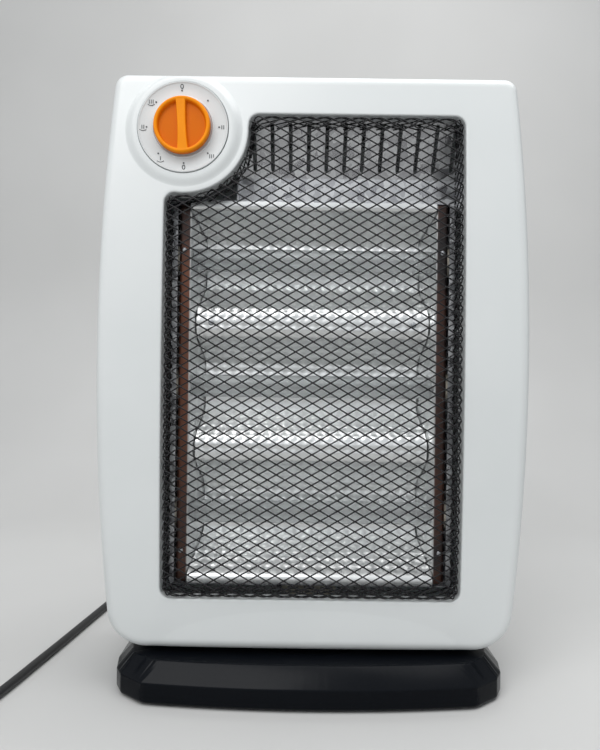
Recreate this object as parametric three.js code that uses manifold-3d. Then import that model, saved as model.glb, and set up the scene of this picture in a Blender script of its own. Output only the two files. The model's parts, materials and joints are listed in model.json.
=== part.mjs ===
// Halogen heater: a white housing with three quartz tubes behind a wire guard, which swings on a black base.
// Millimetres, +Z up, front towards -Y. The origin is on the ground under the pivot.
import * as THREE from 'three';
import { mergeVertices } from 'three/addons/utils/BufferGeometryUtils.js';
import Module from 'manifold-3d';

const wasm = await Module();
wasm.setup();

// ---- Driving dimensions -------------------------------------------------------------------------

const GAP = 0.3;                  // between pieces that touch

// Base
const BASE_FRONT = 89;            // bowed front edge, ahead of the pivot
const BASE_BOW_RADIUS = 965;
const BASE_CORNER_X = 115.5;      // where the bowed front ends in a mitre
const BASE_FACET_X = 133.3;       // where the mitre facet ends in a round
const BASE_FACET_Y = 69.6;
const BASE_ROUND_X = 138.9;       // middle of that round
const BASE_ROUND_Y = 60;
const BASE_SIDE = 142;
const BASE_SIDE_Y = 45;           // straight part of the sides reaches this far forward and back
const BASE_WALL_BOTTOM = 2;
const BASE_WALL_TOP = 16;
const BASE_TOP = 27.5;
const BASE_SLOPE = 11;            // how far the sloping rim draws in
const BASE_WALL = 2.5;
const PLATE_BOTTOM = 3;
const PLATE_TOP = 5.5;
const FOOT_RADIUS = 9;
const FOOT_X = 108;
const FOOT_Y = 60;

// Pivot and drive
const POST_RADIUS = 17;
const POST_BORE = 12.5;
const POST_BOTTOM = 19;
const TURNTABLE_RADIUS = 58;
const TURNTABLE_BOTTOM = 28.8;
const TURNTABLE_TOP = 30.6;
const MOTOR_Y = -46;
const MOTOR_RADIUS = 24;
const MOTOR_TOP = 17;
const CRANK_RADIUS = 23;          // half the motor's distance, for a swing of 30 degrees each way
const CRANK_PIN = 2;
const YOKE_BOTTOM = 20.2;
const YOKE_TOP = 22.3;

// Tip-over switch
const TIP_X = 96;
const TIP_Y = 30;
const PLUNGER_RADIUS = 3;

// Housing
const HOUSING_BOTTOM = 31;
const HOUSING_TOP = 445;
const HALF_WIDTH = 154.5;         // at the widest height
const WIDEST_Z = 243;
const SIDE_RADIUS = 2150;         // the sides are shallow arcs
const TOP_CORNER = 9;
const BOTTOM_CORNER = 26;
const FRONT_Y = -72;              // foremost line of the bulging front
const FRONT_BULGE = 8;
const FRONT_MID_Z = 238;
const FRONT_HALF_HEIGHT = 207;
const FRONT_EDGE = 8;             // rounding of the front edges
const PARTING_Y = -30;            // seam between front panel and rear cover
const REAR_Y = 42;
const REAR_EDGE = 20;
const REAR_DRAFT = 2;
const WALL = 2.5;
const ARCH_HALF = 106;            // shallow arch of raised material at the foot of the front
const ARCH_FOOT = 34;
const ARCH_RISE = 27;
const GRIP_HALF = 58;             // carrying pocket in the back
const GRIP_FLOOR_Y = 14;
const GRIP_BOTTOM = 394;
const GRIP_TOP = 422;
const AIR_SLOT = [150, 4.5];      // the back's air slots, long and high
const AIR_SLOT_PITCH = 12;
const AIR_SLOT_ROWS = [[374, 6], [118, 5]];   // height of the top row and how many rows

// Window
const WINDOW_HALF = 107;
const WINDOW_BOTTOM = 68.5;
const WINDOW_TOP = 415;
const WINDOW_CORNER = 7.5;
const WINDOW_LIP_BACK = -56;
const LIP_WALL = 2.2;
const DIAL_X = -94;
const DIAL_Z = 403;
const DIAL_CLEARANCE = 46;        // the window's edge runs round the dial at this radius

// Dial and knob
const BOSS_RADIUS = 41.5;
const BOSS_FACE = 35;
const BOSS_Y = -70.5;
const DIAL_RADIUS = 32;
const DIAL_FRONT = -71.4;
const DIAL_BACK = -68.9;
const KNOB_RADIUS = 20;
const KNOB_FRONT = -76.6;
const KNOB_BACK = -71.9;
const KNOB_FLOOR = -73.4;
const KNOB_BAR_HALF = 17.9;
const KNOB_TURN = -3;             // degrees that the grip leans off the upright
const SHAFT_RADIUS = 3;
const SHAFT_FRONT = -72.4;         // behind the floor of the dish

// Guard
const GUARD_INSET = 2;
const GUARD_PROUD = 3;
const GUARD_BACK = -45.3;         // seated on the reflector's rim
const GUARD_WIRE = 1.6;
const GUARD_FOLD_GAP = 0.7;       // between the net and the stretches of its folded border
const GUARD_STEP = 112;           // the longest side that follows the front's bulge in one go
const DIAMOND_WIDTH = 48;
const DIAMOND_HEIGHT = 26;

// Reflector
const TUBE_PITCH = 97;
const REFLECTOR_MID_Z = 220;
const REFLECTOR_HALF = 84;
const REFLECTOR_TOP = 358.2;
const REFLECTOR_BOTTOM = 72.4;
const RIDGE_HALF = 8.3;
const RIDGE_Y = -32;
const TROUGH_HALF = 20;
const TROUGH_Y = -12;
const RIM_Y = -45;
const RIM_HEIGHT = 5.5;
const SHEET = 0.8;
const END_FRONT_X = 93;
const END_BACK_X = 85;
const END_FLANGE_X = 101.4;
const END_FRONT_Y = -42.6;
const END_BACK_Y = -10;
const SHIELD_X = 106;
const SHIELD_BOTTOM = 71;
const SHIELD_TOP = 359.2;
const SHIELD_FRONT = -44;
const SHIELD_BACK = -5;
const SHIELD_FLANGE = 4;

// Tubes
const TUBE_Y = -30;
const TUBE_RADIUS = 8.5;
const TUBE_BORE = 7.2;
const TUBE_HALF = 98;
const TUBE_HOLE = 9.6;
const HOLDER_RADIUS = 11;
const HOLDER_INNER_X = 94.4;
const HOLDER_OUTER_X = 104.8;
const HOLDER_SOCKET = 8.9;

// Slotted hood
const HOOD_LEFT = -58;
const HOOD_RIGHT = 116;
const HOOD_TOP = [-50, 427];      // y and height of its upper edge
const HOOD_BEND = [-24, 383];
const HOOD_FOOT_Y = -22;
const SLOT_COUNT = 12;
const SLOT_PITCH = 13.8;
const SLOT_FIRST_X = -46;
const SLOT_WIDTH = 3;
const SLOT_BOTTOM = 387;
const SLOT_TOP = 418;

// Electrical pieces
const SWITCH_FRONT = -61.7;
const SWITCH_BACK = -38.7;
const TERMINAL_BOTTOM = 46;

// Cord
const CORD_RADIUS = 3.4;
const [EXIT_X, EXIT_Y, EXIT_Z] = [-75, 122, 10.8];
const RELIEF_NECK = 4;             // where the strain relief passes through the base's wall
const COIL_TURNS = 2.25;          // in each of its two layers
const COIL_PITCH = 7.5;
const COIL_OUTER = 46;
const COIL_START = [-222.6, -111.6];
const COIL_START_ANGLE = -8;
const PLUG_AXIS_Z = 19;

// ---- Finishes -----------------------------------------------------------------------------------

const FINISH = {
  white: { color: 0xe9eeee, roughness: 0.28, metalness: 0 },
  black: { color: 0x0d0f14, roughness: 0.22, metalness: 0 },
  darkPlastic: { color: 0x1b1c1f, roughness: 0.55, metalness: 0 },
  rubber: { color: 0x151515, roughness: 0.85, metalness: 0 },
  dial: { color: 0xdfe2e2, roughness: 0.35, metalness: 0 },
  orange: { color: 0xf57c14, roughness: 0.35, metalness: 0 },
  wire: { color: 0x101114, roughness: 0.4, metalness: 0.6 },
  zinc: { color: 0x84878c, roughness: 0.45, metalness: 0.9 },
  reflector: { color: 0xb9bcbe, roughness: 0.3, metalness: 1 },
  steel: { color: 0x9a9da1, roughness: 0.35, metalness: 1 },
  quartz: { color: 0xcfd3d4, roughness: 0.6, metalness: 0 },
  ceramic: { color: 0xece6d8, roughness: 0.8, metalness: 0 },
  tungsten: { color: 0x6d6d70, roughness: 0.5, metalness: 1 },
  brass: { color: 0xc9a85a, roughness: 0.35, metalness: 1 },
};

// ---- Solids -------------------------------------------------------------------------------------

const V3 = (x, y, z) => new THREE.Vector3(x, y, z);

/** Only the positions of a geometry, with shared corners merged and the faces turned outwards. */
function closed(geometry) {
  const bare = geometry.clone();
  bare.deleteAttribute('normal');
  bare.deleteAttribute('uv');
  const merged = mergeVertices(bare, 1e-4);
  if (signedVolume(merged) < 0) {
    const index = merged.index.array;
    for (let i = 0; i < index.length; i += 3) {
      [index[i], index[i + 1]] = [index[i + 1], index[i]];
    }
  }
  return merged;
}

function signedVolume(geometry) {
  const position = geometry.attributes.position;
  const index = geometry.index.array;
  const [a, b, c] = [V3(), V3(), V3()];
  let volume = 0;
  for (let i = 0; i < index.length; i += 3) {
    a.fromBufferAttribute(position, index[i]);
    b.fromBufferAttribute(position, index[i + 1]);
    c.fromBufferAttribute(position, index[i + 2]);
    volume += a.dot(b.cross(c)) / 6;
  }
  return volume;
}

/** A closed geometry as a solid that can be cut and joined. */
function solid(geometry) {
  const shell = closed(geometry);
  return new wasm.Manifold(new wasm.Mesh({
    numProp: 3,
    vertProperties: new Float32Array(shell.attributes.position.array),
    triVerts: new Uint32Array(shell.index.array),
  }));
}

/** A cut or joined solid as a geometry again. */
function geometryOf(body) {
  const mesh = body.getMesh();
  const geometry = new THREE.BufferGeometry();
  geometry.setAttribute('position', new THREE.BufferAttribute(new Float32Array(mesh.vertProperties), 3));
  geometry.setIndex(new THREE.BufferAttribute(new Uint32Array(mesh.triVerts), 1));
  geometry.computeVertexNormals();
  return geometry;
}

const union = (bodies) => bodies.reduce((all, body) => all.add(body));
const cut = (body, cutters) => cutters.reduce((rest, cutter) => rest.subtract(cutter), body);

const shapeOf = (points) => new THREE.Shape(points.map(([x, y]) => new THREE.Vector2(x, y)));
const extruded = (points, depth) =>
  new THREE.ExtrudeGeometry(shapeOf(points), { depth, bevelEnabled: false, steps: 1 });

/** A prism of an outline in the plane, from z0 up to z1. */
const alongZ = (points, z0, z1) => extruded(points, z1 - z0).translate(0, 0, z0);

/** A prism of an outline given as x and z, from y0 back to y1. */
const alongY = (points, y0, y1) => extruded(points, y1 - y0).rotateX(Math.PI / 2).translate(0, y1, 0);

/** A prism of an outline given as y and z, from x0 to x1. */
function alongX(points, x0, x1) {
  const turn = new THREE.Matrix4().makeBasis(V3(0, 1, 0), V3(0, 0, 1), V3(1, 0, 0));
  return extruded(points, x1 - x0).applyMatrix4(turn).translate(x0, 0, 0);
}

const block = ([x0, x1], [y0, y1], [z0, z1]) =>
  new THREE.BoxGeometry(x1 - x0, y1 - y0, z1 - z0).translate((x0 + x1) / 2, (y0 + y1) / 2, (z0 + z1) / 2);

/** A turned piece: a profile of radius and height, about an upright axis. */
const turnedZ = (profile, sides = 32) =>
  new THREE.LatheGeometry(profile.map(([r, h]) => new THREE.Vector2(r, h)), sides).rotateX(Math.PI / 2);

/** A turned piece: a profile of radius and y, about an axis that runs back. */
const turnedY = (profile, sides = 32) =>
  new THREE.LatheGeometry(profile.map(([r, h]) => new THREE.Vector2(r, h)), sides);

/** A turned piece: a profile of radius and x, about an axis that runs across. */
const turnedX = (profile, sides = 24) =>
  new THREE.LatheGeometry(profile.map(([r, h]) => new THREE.Vector2(r, h)), sides).rotateZ(-Math.PI / 2);

/** The profile of a plain or bored cylinder. */
const cylinder = (radius, h0, h1) => [[0, h0], [radius, h0], [radius, h1], [0, h1]];
const sleeve = (inner, outer, h0, h1) => [[inner, h0], [outer, h0], [outer, h1], [inner, h1], [inner, h0]];

/** Points of an arc, angles in degrees, from the first to the last. */
function arc([cx, cy], radius, from, to, steps) {
  return Array.from({ length: steps + 1 }, (_, i) => {
    const angle = THREE.MathUtils.degToRad(from + (to - from) * i / steps);
    return [cx + radius * Math.cos(angle), cy + radius * Math.sin(angle)];
  });
}

/** An outline moved inwards by a distance at every corner, for an outline that runs anticlockwise. */
function inset(points, distance) {
  const count = points.length;
  return points.map((point, i) => {
    const before = points[(i + count - 1) % count];
    const after = points[(i + 1) % count];
    const n1 = leftNormal(before, point);
    const n2 = leftNormal(point, after);
    const reach = distance / (1 + n1[0] * n2[0] + n1[1] * n2[1]);
    return [point[0] + (n1[0] + n2[0]) * reach, point[1] + (n1[1] + n2[1]) * reach];
  });
}

function leftNormal([ax, ay], [bx, by]) {
  const length = Math.hypot(bx - ax, by - ay);
  return [-(by - ay) / length, (bx - ax) / length];
}

/** The outline of a sheet bent along a path, with its thickness to the left of the path. */
function bentSheet(path, thickness) {
  const side = path.map((point, i) => {
    const n1 = i > 0 ? leftNormal(path[i - 1], point) : leftNormal(point, path[1]);
    const n2 = i < path.length - 1 ? leftNormal(point, path[i + 1]) : n1;
    const reach = thickness / (1 + n1[0] * n2[0] + n1[1] * n2[1]);
    return [point[0] + (n1[0] + n2[0]) * reach, point[1] + (n1[1] + n2[1]) * reach];
  });
  return [...path, ...side.reverse()];
}

/** A skin over rings of points that all have the same count, with a flat fan at either end. */
function stacked(rings) {
  const sides = rings[0].length;
  const index = [];
  for (let level = 0; level < rings.length - 1; level += 1) {
    for (let i = 0; i < sides; i += 1) {
      const j = (i + 1) % sides;
      const [a, b] = [level * sides + i, level * sides + j];
      index.push(a, b, b + sides, a, b + sides, a + sides);
    }
  }
  const top = (rings.length - 1) * sides;
  for (let i = 1; i < sides - 1; i += 1) {
    index.push(0, i + 1, i, top, top + i, top + i + 1);
  }
  const geometry = new THREE.BufferGeometry();
  geometry.setAttribute('position', new THREE.Float32BufferAttribute(rings.flat(2), 3));
  geometry.setIndex(index);
  return geometry;
}

/** A tube of a given number of sides whose middle runs through every point, closed at both ends. */
function tubeThrough(path, radius, sides) {
  const up = V3(0, 0, 1);
  return stacked(path.map((point, i) => {
    const ahead = path[Math.min(i + 1, path.length - 1)].clone().sub(path[Math.max(i - 1, 0)]).normalize();
    const across = ahead.clone().cross(up).normalize();
    const rise = across.clone().cross(ahead);
    return Array.from({ length: sides }, (_, k) => {
      const angle = 2 * Math.PI * k / sides;
      return point.clone().addScaledVector(across, radius * Math.cos(angle))
        .addScaledVector(rise, radius * Math.sin(angle)).toArray();
    });
  }));
}

/** A round lead along a smooth curve through a few points. */
function lead(points, radius, sides, steps) {
  const curve = new THREE.CatmullRomCurve3(points.map((p) => V3(...p)), false, 'centripetal');
  const section = shapeOf(arc([0, 0], radius, 0, 360 * (sides - 1) / sides, sides - 1));
  return new THREE.ExtrudeGeometry(section, { extrudePath: curve, steps, bevelEnabled: false });
}

/** An obround hole's outline, upright or lying. */
function obround([cx, cy], width, height, steps = 3) {
  const r = Math.min(width, height) / 2;
  if (height >= width) {
    return [...arc([cx, cy + height / 2 - r], r, 0, 180, steps), ...arc([cx, cy - height / 2 + r], r, 180, 360, steps)];
  }
  return [...arc([cx + width / 2 - r, cy], r, -90, 90, steps), ...arc([cx - width / 2 + r, cy], r, 90, 270, steps)];
}

// ---- The groups that move together --------------------------------------------------------------

const heater = new THREE.Group();
const base = new THREE.Group();
const housing = new THREE.Group();
const knob = new THREE.Group();
heater.add(base, housing, knob);

function add(group, name, shape, finish) {
  const geometry = shape instanceof THREE.BufferGeometry ? closed(shape) : geometryOf(shape);
  geometry.computeVertexNormals();
  const mesh = new THREE.Mesh(geometry, new THREE.MeshStandardMaterial({ ...FINISH[finish], flatShading: true }));
  mesh.name = name;
  group.add(mesh);
  return mesh;
}

// ---- Base ---------------------------------------------------------------------------------------

/** The base's plan: a bowed front, a mitre facet and a round at each corner, the same behind. */
function basePlan() {
  const bow = (x) => -BASE_FRONT + x * x / (2 * BASE_BOW_RADIUS);
  const front = [-1, -0.66, -0.33, 0, 0.33, 0.66, 1].map((t) => [t * BASE_CORNER_X, bow(t * BASE_CORNER_X)]);
  const round = [[BASE_FACET_X, -BASE_FACET_Y], [BASE_ROUND_X, -BASE_ROUND_Y], [BASE_SIDE, -BASE_SIDE_Y]];
  const frontHalf = [...front, ...round];
  const left = round.map(([x, y]) => [-x, y]);
  const back = frontHalf.map(([x, y]) => [-x, -y]);
  const leftBack = left.map(([x, y]) => [-x, -y]);
  return dedupe([...frontHalf, ...leftBack.slice().reverse(), ...back, ...left.slice().reverse()]);
}

/** An outline without points that repeat. */
function dedupe(points) {
  return points.filter((p, i) => points.findIndex((q) => Math.hypot(p[0] - q[0], p[1] - q[1]) < 1e-6) === i);
}

const planAt = (plan, z) => plan.map(([x, y]) => [x, y, z]);

function makeBase() {
  const plan = basePlan();
  const outer = solid(stacked([
    planAt(inset(plan, 1.2), BASE_WALL_BOTTOM),
    planAt(plan, BASE_WALL_BOTTOM + 2.5),
    planAt(plan, BASE_WALL_TOP),
    planAt(inset(plan, BASE_SLOPE), BASE_TOP),
  ]));
  const ceiling = BASE_TOP - BASE_WALL;
  const innerTop = inset(plan, BASE_SLOPE + BASE_WALL * 0.6);
  const inner = solid(stacked([
    planAt(inset(plan, BASE_WALL), 0),
    planAt(inset(plan, BASE_WALL), BASE_WALL_TOP - 1),
    planAt(innerTop, ceiling),
  ]));
  const pivotHole = solid(turnedZ(cylinder(POST_RADIUS + 0.4, 20, 32)));
  const cordHole = solid(turnedY(cylinder(RELIEF_NECK + GAP, 70, 100), 16).translate(EXIT_X, 0, EXIT_Z));
  add(base, 'base_shell', cut(outer, [inner, pivotHole, cordHole]), 'black');

  const plateBody = solid(alongZ(inset(plan, BASE_WALL + 0.4), PLATE_BOTTOM, PLATE_TOP));
  const plungerHole = solid(turnedZ(cylinder(PLUNGER_RADIUS + 0.4, 0, 8), 16).translate(TIP_X, TIP_Y, 0));
  add(base, 'base_plate', cut(plateBody, [plungerHole]), 'darkPlastic');

  for (const [end, y] of [['front', -FOOT_Y], ['rear', FOOT_Y]]) {
    for (const [side, x] of [['left', -FOOT_X], ['right', FOOT_X]]) {
      const profile = [[0, 0], [FOOT_RADIUS - 1, 0], [FOOT_RADIUS, 1], [FOOT_RADIUS, 2.7], [0, 2.7]];
      add(base, `foot_${end}_${side}`, turnedZ(profile, 20).translate(x, y, 0), 'rubber');
    }
  }
  add(base, 'bearing_washer', turnedZ(sleeve(22, 40, BASE_TOP + GAP, TURNTABLE_BOTTOM - GAP), 24), 'darkPlastic');
}

function makeDrive() {
  const can = turnedZ([[0, 5.8], [MOTOR_RADIUS, 5.8], [MOTOR_RADIUS, MOTOR_TOP - 1],
    [MOTOR_RADIUS - 1, MOTOR_TOP], [0, MOTOR_TOP]], 24);
  const ear = block([-31, 31], [-4, 4], [5.8, 7]);
  const motor = solid(can).add(solid(ear)).translate([0, MOTOR_Y, 0]);
  add(base, 'oscillation_motor', motor, 'zinc');

  const crankBottom = MOTOR_TOP + 0.4;
  const arm = alongZ([...arc([0, 0], 5, 0, 180, 8), ...arc([0, -CRANK_RADIUS], 4, 180, 360, 8)],
    crankBottom, crankBottom + 1.6);
  const pin = turnedZ(cylinder(CRANK_PIN, crankBottom + 1, YOKE_BOTTOM - 0.5), 12).translate(0, -CRANK_RADIUS, 0);
  add(base, 'drive_crank', solid(arm).add(solid(pin)).translate([0, MOTOR_Y, 0]), 'steel');
}

function makeTipSwitch() {
  const box = solid(block([-11, 11], [-7, 7], [PLATE_TOP + GAP, 19])).translate([TIP_X - 4, TIP_Y, 0]);
  const bore = solid(turnedZ(cylinder(PLUNGER_RADIUS + 0.4, 4, 17), 16).translate(TIP_X, TIP_Y, 0));
  add(base, 'tip_switch', box.subtract(bore), 'darkPlastic');
  const plunger = [[0, 0.2], [PLUNGER_RADIUS - 1, 0.2], [PLUNGER_RADIUS, 1.2], [PLUNGER_RADIUS, 16.5], [0, 16.5]];
  add(base, 'tip_plunger', turnedZ(plunger, 16).translate(TIP_X, TIP_Y, 0), 'darkPlastic');
}

// ---- Pivot --------------------------------------------------------------------------------------

function makePivot() {
  const profile = [[POST_BORE, POST_BOTTOM], [POST_RADIUS, POST_BOTTOM], [POST_RADIUS, TURNTABLE_BOTTOM],
    [TURNTABLE_RADIUS, TURNTABLE_BOTTOM], [TURNTABLE_RADIUS, TURNTABLE_TOP], [POST_BORE, TURNTABLE_TOP],
    [POST_BORE, POST_BOTTOM]];
  add(housing, 'turntable', turnedZ(profile, 32), 'black');
  add(housing, 'retaining_ring', turnedZ(sleeve(POST_RADIUS + 0.5, 22, YOKE_TOP + GAP, 24.6), 24), 'steel');

  const hub = solid(turnedZ(cylinder(21.5, YOKE_BOTTOM, YOKE_TOP)));
  const reach = -MOTOR_Y + CRANK_RADIUS;
  const arm = solid(alongZ([[-6, -reach - 5], [6, -reach - 5], [6, 0], [-6, 0]], YOKE_BOTTOM, YOKE_TOP));
  const slotMiddle = [0, -(reach + 24.5 + 1.5) / 2];
  const slot = solid(alongZ(obround(slotMiddle, 2 * CRANK_PIN + 1, reach - 24.5 + 3.5, 4), 10, 30));
  const eye = solid(turnedZ(cylinder(POST_RADIUS + GAP, 10, 30)));
  add(housing, 'drive_yoke', cut(hub.add(arm), [slot, eye]), 'steel');
}

// ---- Housing ------------------------------------------------------------------------------------

/** How far a rounded edge has drawn in, at a distance from its end. */
function drawnIn(distance, radius) {
  if (distance >= radius) return 0;
  return radius - Math.sqrt(radius ** 2 - (radius - Math.max(distance, 0)) ** 2);
}

/** Half the housing's width at a height: a shallow arc, with rounded corners above and below. */
function halfWidth(z) {
  const sagitta = SIDE_RADIUS - Math.sqrt(SIDE_RADIUS ** 2 - (z - WIDEST_Z) ** 2);
  const corner = Math.max(drawnIn(HOUSING_TOP - z, TOP_CORNER), drawnIn(z - HOUSING_BOTTOM, BOTTOM_CORNER));
  return HALF_WIDTH - sagitta - corner;
}

/** The bulging front face: a parabola over the height. */
const frontFace = (z) => FRONT_Y + FRONT_BULGE * ((z - FRONT_MID_Z) / FRONT_HALF_HEIGHT) ** 2;

const fromEnd = (z) => Math.min(HOUSING_TOP - z, z - HOUSING_BOTTOM);

/** Heights for the housing's sections, close together where its edges are round. */
function housingLevels(topRound) {
  const bottom = [0, 15, 30, 45, 60, 75, 90].map((a) => BOTTOM_CORNER * (1 - Math.cos(THREE.MathUtils.degToRad(a))));
  const top = [0, 22, 44, 66, 90].map((a) => topRound * (1 - Math.cos(THREE.MathUtils.degToRad(a))));
  const low = HOUSING_BOTTOM + BOTTOM_CORNER;
  const high = HOUSING_TOP - topRound;
  const middle = Array.from({ length: 7 }, (_, i) => low + (high - low) * (i + 1) / 8);
  return [...bottom.map((d) => HOUSING_BOTTOM + d), ...middle, ...top.map((d) => HOUSING_TOP - d).reverse()];
}

/** The front half's section at a height, drawn in all round by a wall's thickness. */
function frontSection(z, wall, seamY) {
  const squeeze = (HOUSING_TOP - HOUSING_BOTTOM - 2 * wall) / (HOUSING_TOP - HOUSING_BOTTOM);
  const level = HOUSING_BOTTOM + wall + (z - HOUSING_BOTTOM) * squeeze;
  const half = halfWidth(z) - wall;
  const front = frontFace(z) + drawnIn(fromEnd(z), FRONT_EDGE) + wall;
  const edge = FRONT_EDGE - wall;
  const right = arc([half - edge, front + edge], edge, -90, 0, 4);
  const left = right.map(([x, y]) => [-x, y]).reverse();
  return [[-half, seamY], ...left, ...right, [half, seamY]].map(([x, y]) => [x, y, level]);
}

/** The rear half's section at a height, drawn in all round by a wall's thickness. */
function rearSection(z, wall, seamY) {
  const squeeze = (HOUSING_TOP - HOUSING_BOTTOM - 2 * wall) / (HOUSING_TOP - HOUSING_BOTTOM);
  const level = HOUSING_BOTTOM + wall + (z - HOUSING_BOTTOM) * squeeze;
  const half = halfWidth(z) - wall;
  const rear = REAR_Y - drawnIn(fromEnd(z), REAR_EDGE) - wall;
  const edge = REAR_EDGE - wall;
  const right = arc([half - REAR_DRAFT - edge, rear - edge], edge, 0, 90, 5);
  const left = right.map(([x, y]) => [-x, y]).reverse();
  return [[half, seamY], ...right, ...left, [-half, seamY]].map(([x, y]) => [x, y, level]);
}

/** The L-shaped window, anticlockwise seen with x to the right and z up; it runs round the dial. */
function windowOutline() {
  const r = WINDOW_CORNER;
  return [
    ...arc([WINDOW_HALF - r, WINDOW_BOTTOM + r], r, -90, 0, 4),
    ...arc([WINDOW_HALF - r, WINDOW_TOP - r], r, 0, 90, 4),
    ...arc([DIAL_X + DIAL_CLEARANCE + 0.2 + r, WINDOW_TOP - r], r, 90, 180, 4),
    ...arc([DIAL_X, DIAL_Z], DIAL_CLEARANCE, 2, -94, 14),
    ...arc([-WINDOW_HALF + r, DIAL_Z - DIAL_CLEARANCE - r + 0.4], r, 90, 180, 4),
    ...arc([-WINDOW_HALF + r, WINDOW_BOTTOM + r], r, 180, 270, 4),
  ];
}

function makeFrontPanel() {
  const levels = housingLevels(TOP_CORNER);
  const outer = solid(stacked(levels.map((z) => frontSection(z, 0, PARTING_Y))));
  const inner = solid(stacked(levels.map((z) => frontSection(z, WALL, PARTING_Y + 5))));
  const outline = windowOutline();
  const lip = solid(alongY(inset(outline, -LIP_WALL), -90, WINDOW_LIP_BACK)).intersect(outer);
  const bossProfile = [[0, -62], [BOSS_RADIUS, -62], [BOSS_RADIUS, -65.5], [BOSS_RADIUS - 2.5, -68.4],
    [BOSS_FACE + 1, -70.2], [BOSS_FACE - 1, BOSS_Y], [0, BOSS_Y]];
  const boss = solid(turnedY(bossProfile, 40)).translate([DIAL_X, 0, DIAL_Z]);
  const arch = arc([0, 0], 1, 0, 180, 18).map(([x, z]) => [x * ARCH_HALF, ARCH_FOOT + z * ARCH_RISE]);
  const archPad = solid(alongY([...arch, [-ARCH_HALF, ARCH_FOOT - 1], [ARCH_HALF, ARCH_FOOT - 1]], -66, -58));
  const seat = solid(turnedY(cylinder(DIAL_RADIUS + GAP, -90, DIAL_BACK + GAP), 40)).translate([DIAL_X, 0, DIAL_Z]);
  const shaftHole = solid(turnedY(cylinder(8, -90, -50), 24)).translate([DIAL_X, 0, DIAL_Z]);
  const windowCut = solid(alongY(outline, -95, -40));
  const shell = outer.subtract(inner).add(lip).add(boss).add(archPad);
  add(housing, 'front_panel', cut(shell, [seat, shaftHole, windowCut]), 'white');
}

function makeRearCover() {
  const seam = PARTING_Y + GAP;
  const levels = housingLevels(REAR_EDGE);
  const outer = solid(stacked(levels.map((z) => rearSection(z, 0, seam))));
  const inner = solid(stacked(levels.map((z) => rearSection(z, WALL, seam - 5))));
  const grip = (grow) => solid(block([-GRIP_HALF - grow, GRIP_HALF + grow], [GRIP_FLOOR_Y - grow, 60],
    [GRIP_BOTTOM - grow, GRIP_TOP + grow]));
  const gripPocket = grip(WALL).intersect(outer);
  const pivotOpening = solid(turnedZ(cylinder(POST_BORE + 2, 20, 50), 24));
  const slots = [];
  for (const [top, rows] of AIR_SLOT_ROWS) {
    for (let row = 0; row < rows; row += 1) {
      slots.push(solid(alongY(obround([0, top - AIR_SLOT_PITCH * row], ...AIR_SLOT), 20, 60)));
    }
  }
  const shell = outer.subtract(inner).add(gripPocket);
  add(housing, 'rear_cover', cut(shell, [grip(0), pivotOpening, ...slots]), 'white');
}

function makeDial() {
  const rim = DIAL_RADIUS;
  const profile = [[6.5, DIAL_BACK], [rim, DIAL_BACK], [rim, DIAL_FRONT + 0.4], [rim - 0.5, DIAL_FRONT],
    [rim - 1.3, DIAL_FRONT + 0.5], [KNOB_RADIUS + 1.6, DIAL_FRONT + 0.9], [KNOB_RADIUS + 0.8, DIAL_FRONT + 0.5],
    [KNOB_RADIUS + 0.2, DIAL_FRONT + 1.2], [6.5, DIAL_FRONT + 1.2], [6.5, DIAL_BACK]];
  add(housing, 'dial_plate', turnedY(profile, 40).translate(DIAL_X, 0, DIAL_Z), 'dial');
}

/** A knob with a dished face and a grip bar right across, narrower in the middle. */
function makeKnob() {
  const profile = [[0, KNOB_BACK], [KNOB_RADIUS - 0.4, KNOB_BACK], [KNOB_RADIUS, KNOB_BACK - 0.5],
    [KNOB_RADIUS - 0.4, KNOB_FRONT + 1], [KNOB_RADIUS - 1.2, KNOB_FRONT], [KNOB_RADIUS - 2, KNOB_FRONT + 0.2],
    [KNOB_RADIUS - 2.6, KNOB_FRONT + 1.4], [KNOB_RADIUS - 3.2, KNOB_FLOOR], [0, KNOB_FLOOR]];
  const half = (z) => 2.95 + 0.9 * (z / KNOB_BAR_HALF) ** 2;
  const heights = [-1, -0.75, -0.5, -0.25, 0, 0.25, 0.5, 0.75, 1].map((t) => t * KNOB_BAR_HALF);
  const bar = [...heights.map((z) => [half(z), z]), ...heights.slice().reverse().map((z) => [-half(z), z])];
  const grip = solid(alongY(bar, KNOB_FRONT + 0.2, KNOB_FLOOR + 1));
  const hub = solid(turnedY(cylinder(5.6, KNOB_BACK - 1, -66), 24));
  const bore = solid(turnedY(cylinder(SHAFT_RADIUS + GAP, SHAFT_FRONT - GAP * 2, -60), 16));
  const body = cut(solid(turnedY(profile, 36)).add(grip).add(hub), [bore]);
  const turned = geometryOf(body).rotateY(THREE.MathUtils.degToRad(KNOB_TURN)).translate(DIAL_X, 0, DIAL_Z);
  add(knob, 'control_knob', turned, 'orange');
  add(knob, 'switch_shaft', turnedY(cylinder(SHAFT_RADIUS, SHAFT_FRONT, -52), 16).translate(DIAL_X, 0, DIAL_Z), 'brass');
}

// ---- Guard --------------------------------------------------------------------------------------

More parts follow.
